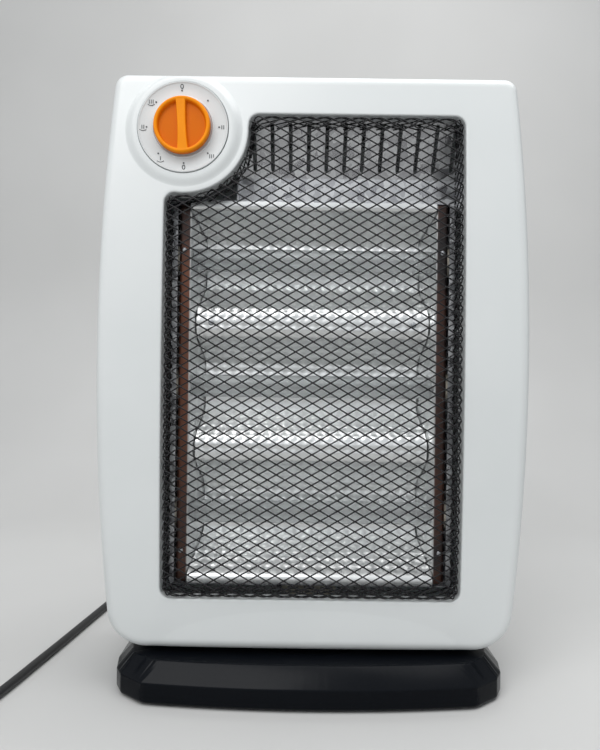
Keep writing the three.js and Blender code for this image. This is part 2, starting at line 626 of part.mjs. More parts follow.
/** A net of crossing wires over the window, and its border, folded back to the reflector's frame. */
function makeGuard() {
  const outline = inset(windowOutline(), GUARD_INSET);
  const inside = inset(outline, GUARD_WIRE);
  const depth = GUARD_BACK - FRONT_Y + GUARD_PROUD;
  const diamonds = wasm.Manifold.union(diamondGaps()).intersect(solid(alongY(inside, -5, 5)));
  const net = solid(alongY(outline, 0, GUARD_WIRE)).subtract(diamonds);
  const border = solid(alongY(outline, GUARD_WIRE + GUARD_FOLD_GAP, depth));
  const ring = cut(border.subtract(solid(alongY(inside, -1, depth + 1))), skirtGaps(depth).map(solid));
  const bend = (point) => {
    const face = frontFace(point[2]) - GUARD_PROUD;
    point[1] = face + point[1] / depth * (GUARD_BACK - face);
  };
  add(housing, 'guard_mesh', net.refineToLength(GUARD_STEP).warp(bend), 'wire');
  for (const [side, sector] of Object.entries(borderSectors())) {
    const stretch = solid(alongY(inset(sector, GUARD_FOLD_GAP), -1, depth + 1)).intersect(ring);
    add(housing, `guard_border_${side}`, stretch.refineToLength(GUARD_STEP).warp(bend), 'wire');
  }
}

/** The five stretches of the guard's border, as x and z: they meet on the mitres of the window's corners. */
function borderSectors() {
  const r = WINDOW_CORNER;
  const [out, rise] = [60, 66];        // a slant that misses the corners' own points
  const [right, bottom, top] = [WINDOW_HALF - r, WINDOW_BOTTOM + r, WINDOW_TOP - r];
  const shelf = DIAL_Z - DIAL_CLEARANCE - r;
  const inner = DIAL_X + DIAL_CLEARANCE + r;
  return {
    right: [[right, bottom], [right + out, bottom - rise], [right + out, top + rise], [right, top]],
    top: [[right, top], [right + out, top + rise], [inner - out, top + rise], [inner, top]],
    dial: [[inner, top], [inner - out, top + rise], [-right - out, top + rise], [-right - out, shelf + rise],
      [-right, shelf], [inner, shelf]],
    left: [[-right, shelf], [-right - out, shelf + rise], [-right - out, bottom - rise], [-right, bottom]],
    bottom: [[-right, bottom], [-right - out, bottom - rise], [right + out, bottom - rise], [right, bottom]],
  };
}

/** The gaps between two crossing sets of wires, as a lattice of diamonds over the whole window. */
function diamondGaps() {
  const [w, h] = [DIAMOND_WIDTH / 2, DIAMOND_HEIGHT / 2];
  const diamond = inset([[w, 0], [0, h], [-w, 0], [0, -h]], GUARD_WIRE / 2);
  const rows = Math.ceil((WINDOW_TOP - WINDOW_BOTTOM) / h);
  const columns = Math.ceil(WINDOW_HALF / DIAMOND_WIDTH);
  const gaps = [];
  for (let row = 0; row <= rows; row += 1) {
    for (let column = -columns; column <= columns; column += 1) {
      const x = (column + (row % 2) / 2) * DIAMOND_WIDTH;
      gaps.push(solid(alongY(diamond, -3, 3)).translate([x, 0, WINDOW_BOTTOM + row * h]));
    }
  }
  return gaps;
}

/** Cutters for the gaps in the skirt of the guard, which is still flat here, with its face at y = 0. */
function skirtGaps(depth) {
  const across = [GUARD_WIRE * 2, depth - GUARD_WIRE * 1.5];
  const gaps = [];
  const pitch = DIAMOND_HEIGHT * 1.5;
  for (let z = WINDOW_BOTTOM + 14; z < WINDOW_TOP - 30; z += pitch) {
    const height = [z, z + pitch - 4];
    gaps.push(block([80, 120], across, height));
    if (height[1] < DIAL_Z - DIAL_CLEARANCE - 10) gaps.push(block([-120, -80], across, height));
  }
  for (let x = -WINDOW_HALF + 14; x < WINDOW_HALF - 40; x += DIAMOND_WIDTH) {
    const width = [x, x + DIAMOND_WIDTH - 5];
    gaps.push(block(width, across, [60, 80]));
    if (x > -30) gaps.push(block(width, across, [400, 430]));
  }
  return gaps;
}

// ---- Reflector, hood and tubes ------------------------------------------------------------------

function makeReflector() {
  const troughs = [1, 0, -1].map((i) => REFLECTOR_MID_Z + i * TUBE_PITCH);
  const path = [[RIM_Y, REFLECTOR_TOP], [RIM_Y, REFLECTOR_TOP - RIM_HEIGHT]];
  troughs.forEach((z, i) => {
    path.push([TROUGH_Y, z + TROUGH_HALF], [TROUGH_Y, z - TROUGH_HALF]);
    if (i < troughs.length - 1) {
      const ridge = z - TUBE_PITCH / 2;
      path.push([RIDGE_Y, ridge + RIDGE_HALF], [RIDGE_Y, ridge - RIDGE_HALF]);
    }
  });
  path.push([RIM_Y, REFLECTOR_BOTTOM + RIM_HEIGHT], [RIM_Y, REFLECTOR_BOTTOM]);
  add(housing, 'reflector', alongX(bentSheet(path, SHEET), -REFLECTOR_HALF, REFLECTOR_HALF), 'reflector');

  const holes = troughs.map((z) => solid(turnedX(cylinder(TUBE_HOLE, -120, 120)).translate(0, TUBE_Y, z)));
  const end = [[END_FLANGE_X, END_FRONT_Y], [END_FRONT_X, END_FRONT_Y], [END_BACK_X, END_BACK_Y]];
  for (const [side, sign] of [['left', -1], ['right', 1]]) {
    const outline = bentSheet(end, SHEET).map(([x, y]) => [sign * x, y]);
    const plate = solid(alongZ(outline, REFLECTOR_BOTTOM, REFLECTOR_TOP));
    add(housing, `reflector_end_${side}`, cut(plate, holes), 'reflector');
  }

  for (const [place, z] of [['top', troughs[0]], ['middle', troughs[1]], ['bottom', troughs[2]]]) {
    makeTube(place, z);
  }
}

function makeTube(place, z) {
  const tube = turnedX(sleeve(TUBE_BORE, TUBE_RADIUS, -TUBE_HALF, TUBE_HALF)).translate(0, TUBE_Y, z);
  add(housing, `tube_${place}`, tube, 'quartz');
  const filament = turnedX(cylinder(1.3, -TUBE_HALF + 4, TUBE_HALF - 4), 8).translate(0, TUBE_Y, z);
  add(housing, `filament_${place}`, filament, 'tungsten');
  for (const [side, sign] of [['left', -1], ['right', 1]]) {
    const floor = TUBE_HALF + GAP;
    const profile = [[HOLDER_SOCKET, HOLDER_INNER_X], [HOLDER_RADIUS, HOLDER_INNER_X],
      [HOLDER_RADIUS, HOLDER_OUTER_X], [1.5, HOLDER_OUTER_X],
      [1.5, floor], [HOLDER_SOCKET, floor], [HOLDER_SOCKET, HOLDER_INNER_X]];
    const cap = turnedX(profile.map(([r, h]) => [r, sign * h]), 16).translate(0, TUBE_Y, z);
    add(housing, `holder_${place}_${side}`, cap, 'ceramic');
  }
}

function makeShield() {
  const box = solid(block([-SHIELD_X, SHIELD_X], [SHIELD_FRONT, SHIELD_BACK], [SHIELD_BOTTOM, SHIELD_TOP]));
  const room = solid(block([-SHIELD_X + SHEET, SHIELD_X - SHEET], [SHIELD_FRONT + SHEET, SHIELD_BACK - SHEET],
    [SHIELD_BOTTOM + SHEET, SHIELD_TOP - SHEET]));
  const mouth = solid(block([-SHIELD_X + SHIELD_FLANGE, SHIELD_X - SHIELD_FLANGE], [-60, -20],
    [SHIELD_BOTTOM + SHEET, SHIELD_TOP - SHEET]));
  add(housing, 'heat_shield', cut(box, [room, mouth]), 'zinc');

  const foot = [HOOD_FOOT_Y, SHIELD_TOP + GAP];
  const sheet = solid(alongX(bentSheet([foot, HOOD_BEND, HOOD_TOP], SHEET), HOOD_LEFT, HOOD_RIGHT));
  const cheekFront = GUARD_BACK + 0.8;
  const share = (HOOD_BEND[0] - cheekFront) / (HOOD_BEND[0] - HOOD_TOP[0]);
  const cheekTop = HOOD_BEND[1] + share * (HOOD_TOP[1] - HOOD_BEND[1]);
  const cheek = [[cheekFront, cheekTop], [cheekFront, foot[1]], foot, HOOD_BEND];
  const cheeks = [[HOOD_LEFT, HOOD_LEFT + SHEET], [HOOD_RIGHT - SHEET, HOOD_RIGHT]].map(([a, b]) =>
    solid(alongX(cheek, a, b)));
  const slots = Array.from({ length: SLOT_COUNT }, (_, i) => solid(alongY(
    obround([SLOT_FIRST_X + SLOT_PITCH * i, (SLOT_TOP + SLOT_BOTTOM) / 2], SLOT_WIDTH, SLOT_TOP - SLOT_BOTTOM), -70, 10)));
  add(housing, 'vent_plate', cut(union([sheet, ...cheeks]), slots), 'zinc');
}

// ---- Electrical pieces --------------------------------------------------------------------------

function makeElectrics() {
  const bore = solid(turnedY(cylinder(SHAFT_RADIUS + 0.6, SWITCH_FRONT - 5, SWITCH_FRONT + 12), 16));
  const box = solid(block([-17, 17], [SWITCH_FRONT, SWITCH_BACK], [-15, 15])).subtract(bore);
  add(housing, 'rotary_switch', box.translate([DIAL_X, 0, DIAL_Z]), 'darkPlastic');

  const foot = HOUSING_BOTTOM + WALL + GAP;
  const bridge = [[-22, foot], [-16, foot], [-16, TERMINAL_BOTTOM], [16, TERMINAL_BOTTOM], [16, foot], [22, foot],
    [22, TERMINAL_BOTTOM + 14], [-22, TERMINAL_BOTTOM + 14]];
  add(housing, 'terminal_block', alongY(bridge, -9, 9), 'ceramic');

  const cutout = turnedY([[0, SHIELD_BACK + GAP], [11, SHIELD_BACK + GAP], [11, -2], [8, -2], [8, 4], [0, 4]], 20);
  add(housing, 'thermal_cutout', cutout.translate(40, 0, 320), 'ceramic');
  const rise = [[-22.4, 4, 53], [-30, 4, 53], [-44, 8, 60], [-90, 14, 120], [-112, 12, 240], [-106, 6, 340],
    [-97, -2, 394], [DIAL_X, -18, DIAL_Z], [DIAL_X, -30, DIAL_Z], [DIAL_X, SWITCH_BACK + GAP, DIAL_Z]];
  add(housing, 'switch_lead', lead(rise, 2, 6, 18), 'rubber');
  const feed = [[EXIT_X, 80.4, EXIT_Z], [EXIT_X, 76, EXIT_Z], [-72, 62, 10.2], [-50, 34, 9.5], [-20, 12, 9.5],
    [-4, 2, 13], [0, 0, 24], [0, 0, TERMINAL_BOTTOM - GAP]];
  add(base, 'supply_lead', lead(feed, 2.6, 6, 18), 'rubber');
}

// ---- Cord ---------------------------------------------------------------------------------------

/** The stretch that lies loose: out of the base's back, round its left side and forward past it. */
const CORD_ROUTE = [
  [EXIT_X, EXIT_Y + GAP, EXIT_Z], [-75, 130, 10.4], [-76, 142, 8.8], [-80, 156, 6.2], [-88, 171, 4.2],
  [-101, 184, 3.4], [-118, 191, 3.4], [-137, 190, 3.4], [-154, 181, 3.4], [-168, 166, 3.4],
  [-178, 148, 3.4], [-185, 128, 3.4], [-190, 106, 3.4], [-194, 80, 3.4], [-198, 52, 3.4],
  [-202, 24, 3.4], [-206, -4, 3.4], [-210, -30, 3.4], [-213.5, -54, 3.4], [-217.2, -76, 3.4],
];

/** The coil: in by a steady spiral, up a layer in half a turn, out again, then straight to the plug. */
function coilPath() {
  const start = THREE.MathUtils.degToRad(COIL_START_ANGLE);
  const centre = [COIL_START[0] - COIL_OUTER * Math.cos(start), COIL_START[1] - COIL_OUTER * Math.sin(start)];
  const total = 2 * COIL_TURNS;
  const steps = Math.round(24 * total);
  const path = [];
  const straight = 2 * CORD_RADIUS;
  path.push(V3(COIL_START[0] - straight * Math.sin(start), COIL_START[1] + straight * Math.cos(start), CORD_RADIUS));
  for (let i = 0; i <= steps; i += 1) {
    const turn = i / 24;
    const inward = Math.min(turn, total - turn);
    const climb = THREE.MathUtils.smoothstep(turn, COIL_TURNS - 0.25, COIL_TURNS + 0.25);
    const radius = COIL_OUTER - COIL_PITCH * inward;
    const angle = start - 2 * Math.PI * turn;
    path.push(V3(centre[0] + radius * Math.cos(angle), centre[1] + radius * Math.sin(angle),
      CORD_RADIUS + COIL_PITCH * climb));
  }
  const end = path[path.length - 1];
  const ahead = end.clone().sub(path[path.length - 2]).setZ(0).normalize();
  const rise = PLUG_AXIS_Z - end.z;
  for (const [run, share] of [[8, 0.07], [16, 0.3], [24, 0.68], [32, 0.94], [39, 1], [46, 1]]) {
    path.push(end.clone().addScaledVector(ahead, run).add(V3(0, 0, rise * share)));
  }
  return { path, ahead };
}

/** The least gap between stretches of a path that are more than half a turn apart. */
function leastGap(path, radius) {
  let least = Infinity;
  path.forEach((p, i) => path.forEach((q, j) => {
    if (j - i > 12) least = Math.min(least, p.distanceTo(q));
  }));
  return least - 2 * radius;
}

function makeCord() {
  const relief = turnedY([[0, 80.8], [5, 80.8], [5, 82.3], [RELIEF_NECK, 82.3], [RELIEF_NECK, 87],
    [7, 87], [7, 89.5], [5.9, 91], [5.6, 96], [5.2, 104], [4.7, 114], [4.4, EXIT_Y], [0, EXIT_Y]], 16);
  add(base, 'strain_relief', relief.translate(EXIT_X, 0, EXIT_Z), 'rubber');

  const { path, ahead } = coilPath();
  const backwards = path[0].clone().sub(path[1]).normalize();
  const join = [14, 7, GAP].map((run) => path[0].clone().addScaledVector(backwards, run));
  const route = [...CORD_ROUTE.map((p) => V3(...p)), ...join];
  const curve = new THREE.CatmullRomCurve3(route, false, 'centripetal');
  const section = shapeOf(arc([0, 0], CORD_RADIUS, 0, 315, 7));
  const stretch = new THREE.ExtrudeGeometry(section, { extrudePath: curve, steps: 46, bevelEnabled: false });
  add(base, 'cord', stretch, 'rubber');
  add(base, 'cord_coil', tubeThrough(path, CORD_RADIUS, 6), 'rubber');
  const coilLength = path.slice(1).reduce((sum, p, i) => sum + p.distanceTo(path[i]), 0);
  console.log(`cord ${curve.getLength().toFixed(0)} mm, coil ${coilLength.toFixed(0)} mm, `
    + `least gap in the coil ${leastGap(path, CORD_RADIUS).toFixed(2)} mm`);
  makePlug(path[path.length - 1], ahead);
}

/** A round plug with a tapered sleeve, lying on the ground beyond the coil. */
function makePlug(end, ahead) {
  const heading = Math.atan2(ahead.y, ahead.x) - Math.PI / 2;
  const place = (geometry) => geometry.rotateZ(heading).translate(end.x, end.y, PLUG_AXIS_Z);
  const profile = [[0, GAP], [4.3, GAP], [5.2, 14], [6.4, 20], [12, 23], [17, 30], [18.6, 38], [18.6, 52],
    [17.6, 53], [0, 53]];
  const pinHoles = [-9.5, 9.5].map((x) => solid(turnedY(cylinder(2.7, 44, 60), 12)).translate([x, 0, 0]));
  add(base, 'plug', place(geometryOf(cut(solid(turnedY(profile, 24)), pinHoles))), 'rubber');
  for (const [side, x] of [['left', -9.5], ['right', 9.5]]) {
    const pin = turnedY([[0, 44.4], [2.4, 44.4], [2.4, 70], [1.4, 72], [0, 72]], 12).translate(x, 0, 0);
    add(base, `plug_pin_${side}`, place(pin), 'steel');
  }
}

makeBase();
makeDrive();
makeTipSwitch();
makePivot();
makeFrontPanel();
makeRearCover();
makeDial();
makeKnob();
makeGuard();
makeReflector();
makeShield();
makeElectrics();
makeCord();

export default heater;
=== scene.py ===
import json
import math

import bmesh
import bpy
import numpy as np
from mathutils import Matrix


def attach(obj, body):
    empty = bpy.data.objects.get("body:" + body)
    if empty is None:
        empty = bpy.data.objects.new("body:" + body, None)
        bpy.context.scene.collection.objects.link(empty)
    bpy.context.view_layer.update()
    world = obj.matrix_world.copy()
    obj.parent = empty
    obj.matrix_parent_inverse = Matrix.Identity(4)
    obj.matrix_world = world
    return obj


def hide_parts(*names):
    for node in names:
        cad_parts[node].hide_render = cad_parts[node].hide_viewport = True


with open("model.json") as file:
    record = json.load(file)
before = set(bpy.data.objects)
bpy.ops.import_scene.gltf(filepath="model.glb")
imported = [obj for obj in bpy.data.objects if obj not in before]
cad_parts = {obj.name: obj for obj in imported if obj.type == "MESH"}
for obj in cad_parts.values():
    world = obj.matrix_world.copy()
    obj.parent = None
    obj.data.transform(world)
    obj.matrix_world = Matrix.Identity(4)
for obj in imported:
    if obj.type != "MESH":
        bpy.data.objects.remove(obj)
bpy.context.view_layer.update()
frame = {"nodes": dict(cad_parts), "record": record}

MM = 0.001
TURN = 2 * np.pi

# ---- Sizes that the solids share ------------------------------------------------------------------

HOUSING_BOTTOM, HOUSING_TOP = 31.0, 445.0
HALF_WIDTH, WIDEST_Z, SIDE_RADIUS = 154.5, 243.0, 2150.0
TOP_CORNER, BOTTOM_CORNER = 9.0, 26.0
FRONT_Y, FRONT_BULGE, FRONT_MID_Z, FRONT_HALF_HEIGHT = -72.0, 8.0, 238.0, 207.0
FRONT_EDGE = 8.0
PARTING_Y, SEAM_GAP = -30.0, 0.6
REAR_Y, REAR_EDGE, REAR_DRAFT = 42.0, 20.0, 2.0
WALL = 2.2

WINDOW_HALF, WINDOW_BOTTOM, WINDOW_TOP, WINDOW_CORNER = 107.0, 68.5, 415.0, 7.5
WINDOW_LIP_BACK = -56.0
DIAL_X, DIAL_Z, DIAL_CLEARANCE = -94.0, 403.0, 46.0
RAY_CENTRE = (10.0, 235.0)        # every outline of the front is crossed once by each ray from here
ARCH_HALF, ARCH_FOOT, ARCH_RISE, ARCH_LEAN = 106.0, 34.0, 27.0, 0.075

BOSS_RIM, BOSS_FLAT, BOSS_FOOT, BOSS_Y = 32.4, 34.0, 42.5, -70.5
KNOB_RADIUS, KNOB_FRONT, KNOB_BACK, KNOB_FLOOR = 20.0, -76.6, -71.9, -73.4
KNOB_BAR_HALF, KNOB_LEAN = 17.9, math.radians(3)

TUBE_HEIGHTS = {"top": 317.0, "middle": 220.0, "bottom": 123.0}
TUBE_Y, TUBE_RADIUS, TUBE_HALF = -30.0, 8.5, 98.0
REFLECTOR_BOTTOM, REFLECTOR_TOP = 72.4, 358.2


# ---- Outlines and surfaces ------------------------------------------------------------------------

def arc(centre, radius, start, end, steps):
    """Points of a circular arc, angles in degrees: centre plus radius times cosine and sine."""
    angle = np.radians(np.linspace(start, end, steps + 1))
    return np.column_stack([centre[0] + radius * np.cos(angle), centre[1] + radius * np.sin(angle)])


def resampled(outline, spacing):
    """A closed outline with its own corners kept and its sides cut into steps no longer than spacing."""
    closed = np.vstack([outline, outline[:1]])
    reach = np.concatenate([[0], np.cumsum(np.linalg.norm(np.diff(closed, axis=0), axis=1))])
    at = np.unique(np.round(np.concatenate([reach, np.arange(0, reach[-1], spacing)]), 4))[:-1]
    return np.column_stack([np.interp(at, reach, closed[:, 0]), np.interp(at, reach, closed[:, 1])])


def offset(outline, distance):
    """A closed anticlockwise outline moved out along its mitres: (n1 + n2) distance / (1 + n1.n2)."""
    def normals(step):
        return np.column_stack([step[:, 1], -step[:, 0]]) / np.linalg.norm(step, axis=1)[:, None]
    n1, n2 = normals(outline - np.roll(outline, 1, 0)), normals(np.roll(outline, -1, 0) - outline)
    return outline + (n1 + n2) * (distance / (1 + (n1 * n2).sum(1)))[:, None]


def rounded(corners, radii, steps=6):
    """A closed anticlockwise polygon whose corners become arcs that touch both sides."""
    corners = np.asarray(corners, float)
    parts = []
    for point, before, after, radius in zip(corners, np.roll(corners, 1, 0), np.roll(corners, -1, 0), radii):
        to_before, to_after = before - point, after - point
        to_before, to_after = (v / np.linalg.norm(v) for v in (to_before, to_after))
        half = math.acos(np.clip(to_before @ to_after, -1, 1)) / 2
        middle = (to_before + to_after) / np.linalg.norm(to_before + to_after)
        centre = point + middle * radius / math.sin(half)
        first = point + to_before * radius / math.tan(half) - centre
        turn = np.linspace(0, math.pi - 2 * half, steps + 1) * np.sign(np.cross(to_after, to_before))
        cos, sin = np.cos(turn), np.sin(turn)
        x, z = first
        parts.append(centre + np.column_stack([x * cos - z * sin, x * sin + z * cos]))
    return np.vstack(parts)


def ray_angles(centre, *outlines):
    """The angles, seen from a centre, of all points of some outlines, in order and without near repeats."""
    angles = np.concatenate([np.arctan2(*(o - centre).T[::-1]) for o in outlines]) % TURN
    angles = np.sort(angles)
    return angles[np.concatenate([[True], np.diff(angles) > 4e-4])]


def on_rays(centre, outline, angles):
    """Where rays at some angles from a centre cross a closed outline: radius interpolated over the angle."""
    x, z = (outline - centre).T
    radius = np.interp(angles, np.arctan2(z, x), np.hypot(x, z), period=TURN)
    return np.column_stack([centre[0] + radius * np.cos(angles), centre[1] + radius * np.sin(angles)])


def drawn_in(distance, radius):
    """How far a rounded edge has drawn in at a distance from its end: r - sqrt(r^2 - (r - d)^2)."""
    rest = radius - np.clip(distance, 0, radius)
    return radius - np.sqrt(radius ** 2 - rest ** 2)


def side_half(z):
    """Half the housing's width at a height: a shallow arc, less the rounded corners."""
    sagitta = SIDE_RADIUS - np.sqrt(SIDE_RADIUS ** 2 - (z - WIDEST_Z) ** 2)
    corner = np.maximum(drawn_in(HOUSING_TOP - z, TOP_CORNER), drawn_in(z - HOUSING_BOTTOM, BOTTOM_CORNER))
    return HALF_WIDTH - sagitta - corner


def silhouette():
    """The housing's outline from the front, anticlockwise: heights close together in the corners."""
    quarter = 1 - np.cos(np.radians(np.linspace(0, 90, 14)))
    z = np.concatenate([HOUSING_BOTTOM + BOTTOM_CORNER * quarter, np.linspace(62, 432, 90),
                        (HOUSING_TOP - TOP_CORNER * quarter)[::-1]])
    right = np.column_stack([side_half(z), z])
    return resampled(np.vstack([right, (right * [-1, 1])[::-1]]), 4)


def window_outline():
    """The L-shaped window, anticlockwise: it runs round the dial on an arc."""
    r = WINDOW_CORNER
    return resampled(np.vstack([
        arc((WINDOW_HALF - r, WINDOW_BOTTOM + r), r, -90, 0, 10),
        arc((WINDOW_HALF - r, WINDOW_TOP - r), r, 0, 90, 10),
        arc((DIAL_X + DIAL_CLEARANCE + 0.2 + r, WINDOW_TOP - r), r, 90, 180, 10),
        arc((DIAL_X, DIAL_Z), DIAL_CLEARANCE, 2, -94, 60),
        arc((-WINDOW_HALF + r, DIAL_Z - DIAL_CLEARANCE - r + 0.4), r, 90, 180, 10),
        arc((-WINDOW_HALF + r, WINDOW_BOTTOM + r), r, 180, 270, 10)]), 3)


def front_y(x, z):
    """The bulging front: a parabola over the height, with a steeper facet under a half ellipse below."""
    arch = ARCH_FOOT + ARCH_RISE * np.sqrt(np.clip(1 - (x / ARCH_HALF) ** 2, 0, 1))
    facet = ARCH_LEAN * np.clip(arch - z, 0, None) * (np.abs(x) < ARCH_HALF)
    return FRONT_Y + FRONT_BULGE * ((z - FRONT_MID_Z) / FRONT_HALF_HEIGHT) ** 2 - facet


def upright(outline, y):
    """Points of x and z set up at a depth y."""
    return np.column_stack([outline[:, 0], np.broadcast_to(y, len(outline)), outline[:, 1]])


def turned(profile, sides, axis="z", centre=(0, 0, 0)):
    """A profile of radius and height carried round an axis: (r cos a, r sin a, h) in that axis's order."""
    profile = np.asarray(profile, float)
    angle = np.linspace(0, TURN, sides, endpoint=False)
    radius, height = profile[:, :1], np.repeat(profile[:, 1:], sides, 1)
    across, up = radius * np.cos(angle), radius * np.sin(angle)
    order = {"z": (across, up, height), "y": (across, height, up), "x": (height, across, up)}[axis]
    return np.stack(order, -1) + centre


def swept(path, radius, sides, up=(0, 0, 1)):
    """A round section carried square to a path: point + radius (across cos a + rise sin a)."""
    path = np.asarray(path, float)
    ahead = np.gradient(path, axis=0)
    ahead /= np.linalg.norm(ahead, axis=1)[:, None]
    across = np.cross(ahead, up)
    across /= np.linalg.norm(across, axis=1)[:, None]
    rise = np.cross(across, ahead)
    angle = np.linspace(0, TURN, sides, endpoint=False)[None, :, None]
    radius = np.broadcast_to(radius, len(path))[:, None, None]
    return path[:, None] + radius * (across[:, None] * np.cos(angle) + rise[:, None] * np.sin(angle))


class Patchwork:
    """Grids of points gathered for one mesh."""

    def __init__(self):
        self.points, self.quads, self.count = [], [], 0

    def grid(self, points, close_rows=False, close_columns=False, flip=False):
        """Adds rows x columns of points as quads; a closed direction joins its last line to its first."""
        rows, columns = points.shape[:2]
        index = self.count + np.arange(rows * columns).reshape(rows, columns)
        index = np.vstack([index, index[:1]]) if close_rows else index
        index = np.hstack([index, index[:, :1]]) if close_columns else index
        quads = np.stack([index[:-1, :-1], index[:-1, 1:], index[1:, 1:], index[1:, :-1]], -1).reshape(-1, 4)
        self.quads.append(quads[:, ::-1] if flip else quads)
        self.points.append(points.reshape(-1, 3))
        self.count += rows * columns
        return self

    def grids(self, points):
        """Adds many equal grids at once, as copies x rows x columns, each closed round its columns."""
        copies, rows, columns = points.shape[:3]
        index = self.count + np.arange(copies * rows * columns).reshape(copies, rows, columns)
        index = np.concatenate([index, index[:, :, :1]], 2)
        corners = index[:, :-1, :-1], index[:, :-1, 1:], index[:, 1:, 1:], index[:, 1:, :-1]
        self.quads.append(np.stack(corners, -1).reshape(-1, 4))
        self.points.append(points.reshape(-1, 3))
        self.count += points.shape[0] * rows * columns
        return self

    def capped(self, points):
        """Adds a closed tube of rings whose two ends are drawn together to their middles."""
        ends = [np.repeat(ring.mean(0)[None], len(ring), 0)[None] for ring in (points[0], points[-1])]
        return self.grid(np.concatenate([ends[0], points, ends[1]]), close_columns=True)


def sharpen_rims(mesh):
    """Marks every edge with a single face beside it as sharp, so a wall's rim doesn't bend the shading."""
    edge_of_loop = np.empty(len(mesh.loops), np.int32)
    mesh.loops.foreach_get("edge_index", edge_of_loop)
    sharp = np.empty(len(mesh.edges), bool)
    mesh.edges.foreach_get("use_edge_sharp", sharp)
    rim = np.bincount(edge_of_loop, minlength=len(mesh.edges)) == 1
    mesh.edges.foreach_set("use_edge_sharp", sharp | rim)


def make_piece(name, patches, finish, body, replaces=(), sharp=35, turn_out=False, wall=0.0):
    """One object out of gathered patches: welded, shaded smooth up to an angle, on a body."""
    points = np.vstack(patches.points) * MM
    quads = np.vstack(patches.quads)
    mesh = bpy.data.meshes.new(name)
    mesh.vertices.add(len(points))
    mesh.vertices.foreach_set("co", points.ravel())
    mesh.loops.add(quads.size)
    mesh.loops.foreach_set("vertex_index", quads.ravel())
    mesh.polygons.add(len(quads))
    mesh.polygons.foreach_set("loop_start", np.arange(0, quads.size, 4))
    mesh.update(calc_edges=True)
    mesh.validate()
    welded = bmesh.new()
    welded.from_mesh(mesh)
    bmesh.ops.remove_doubles(welded, verts=welded.verts, dist=2e-6)
    if turn_out:
        bmesh.ops.recalc_face_normals(welded, faces=welded.faces)
    welded.to_mesh(mesh)
    welded.free()
    mesh.shade_smooth()
    mesh.set_sharp_from_angle(angle=math.radians(sharp))
    sharpen_rims(mesh)
    mesh.materials.append(finish)
    piece = bpy.data.objects.new(name, mesh)
    bpy.context.scene.collection.objects.link(piece)
    if wall:
        thick = piece.modifiers.new("wall", "SOLIDIFY")
        thick.thickness, thick.offset = wall * MM, -1
    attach(piece, body)
    if replaces:
        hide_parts(*replaces)
    return piece


# ---- Camera and cord ------------------------------------------------------------------------------

def make_camera():
    """The photograph's view: 590 pixels of focal length in a 600 x 750 frame, level, rolled 0.75 degrees."""
    focal_px, long_side_px = 590, 750
    data = bpy.data.cameras.new("camera")
    data.sensor_width = 36
    data.lens = focal_px / long_side_px * data.sensor_width
    camera = bpy.data.objects.new("camera", data)
    upright_view, roll = Matrix.Rotation(math.pi / 2, 4, "X"), Matrix.Rotation(0.0131, 4, "Z")
    camera.matrix_world = Matrix.Translation((-0.00907, -0.487, 0.229)) @ upright_view @ roll
    bpy.context.scene.collection.objects.link(camera)
    bpy.context.scene.camera = camera


CORD_RADIUS = 3.4
CORD_ROUTE = [
    [-75, 122.3, 10.8], [-75, 130, 10.4], [-76, 142, 8.8], [-80, 156, 6.2], [-88, 171, 4.2],
    [-101, 184, 3.4], [-118, 191, 3.4], [-137, 190, 3.4], [-154, 181, 3.4], [-168, 166, 3.4],
    [-178, 148, 3.4], [-185, 128, 3.4], [-190, 106, 3.4], [-194, 80, 3.4], [-198, 52, 3.4],
    [-202, 24, 3.4], [-206, -4, 3.4], [-210, -30, 3.4], [-213.5, -54, 3.4], [-217.2, -76, 3.4],
]
COIL_TURNS, COIL_PITCH, COIL_OUTER = 2.25, 7.5, 46.0
COIL_START, COIL_START_ANGLE = np.array([-222.6, -111.6]), math.radians(-8)
PLUG_AXIS_Z = 19.0


def coil_path():
    """In by a steady spiral, up a layer in half a turn, out again, then up to the plug's height."""
    ahead = np.array([math.sin(COIL_START_ANGLE), -math.cos(COIL_START_ANGLE)])
    centre = COIL_START - COIL_OUTER * np.array([math.cos(COIL_START_ANGLE), math.sin(COIL_START_ANGLE)])
    turn = np.linspace(0, 2 * COIL_TURNS, int(36 * 2 * COIL_TURNS) + 1)
    radius = COIL_OUTER - COIL_PITCH * np.minimum(turn, 2 * COIL_TURNS - turn)
    share = np.clip((turn - COIL_TURNS + 0.25) / 0.5, 0, 1)
    climb = CORD_RADIUS + COIL_PITCH * share ** 2 * (3 - 2 * share)
    angle = COIL_START_ANGLE - TURN * turn
    spiral = np.column_stack([centre[0] + radius * np.cos(angle), centre[1] + radius * np.sin(angle), climb])
    straight = np.append(COIL_START - 2 * CORD_RADIUS * ahead, CORD_RADIUS)
    heading = spiral[-1] - spiral[-2]
    heading = np.append(heading[:2], 0) / np.hypot(*heading[:2])
    run = np.array([8, 16, 24, 32, 39, 46.0])
    lift = (PLUG_AXIS_Z - spiral[-1, 2]) * np.array([0.07, 0.3, 0.68, 0.94, 1, 1])
    tail = spiral[-1] + run[:, None] * heading + lift[:, None] * [0, 0, 1]
    return np.vstack([straight, spiral, tail]), heading


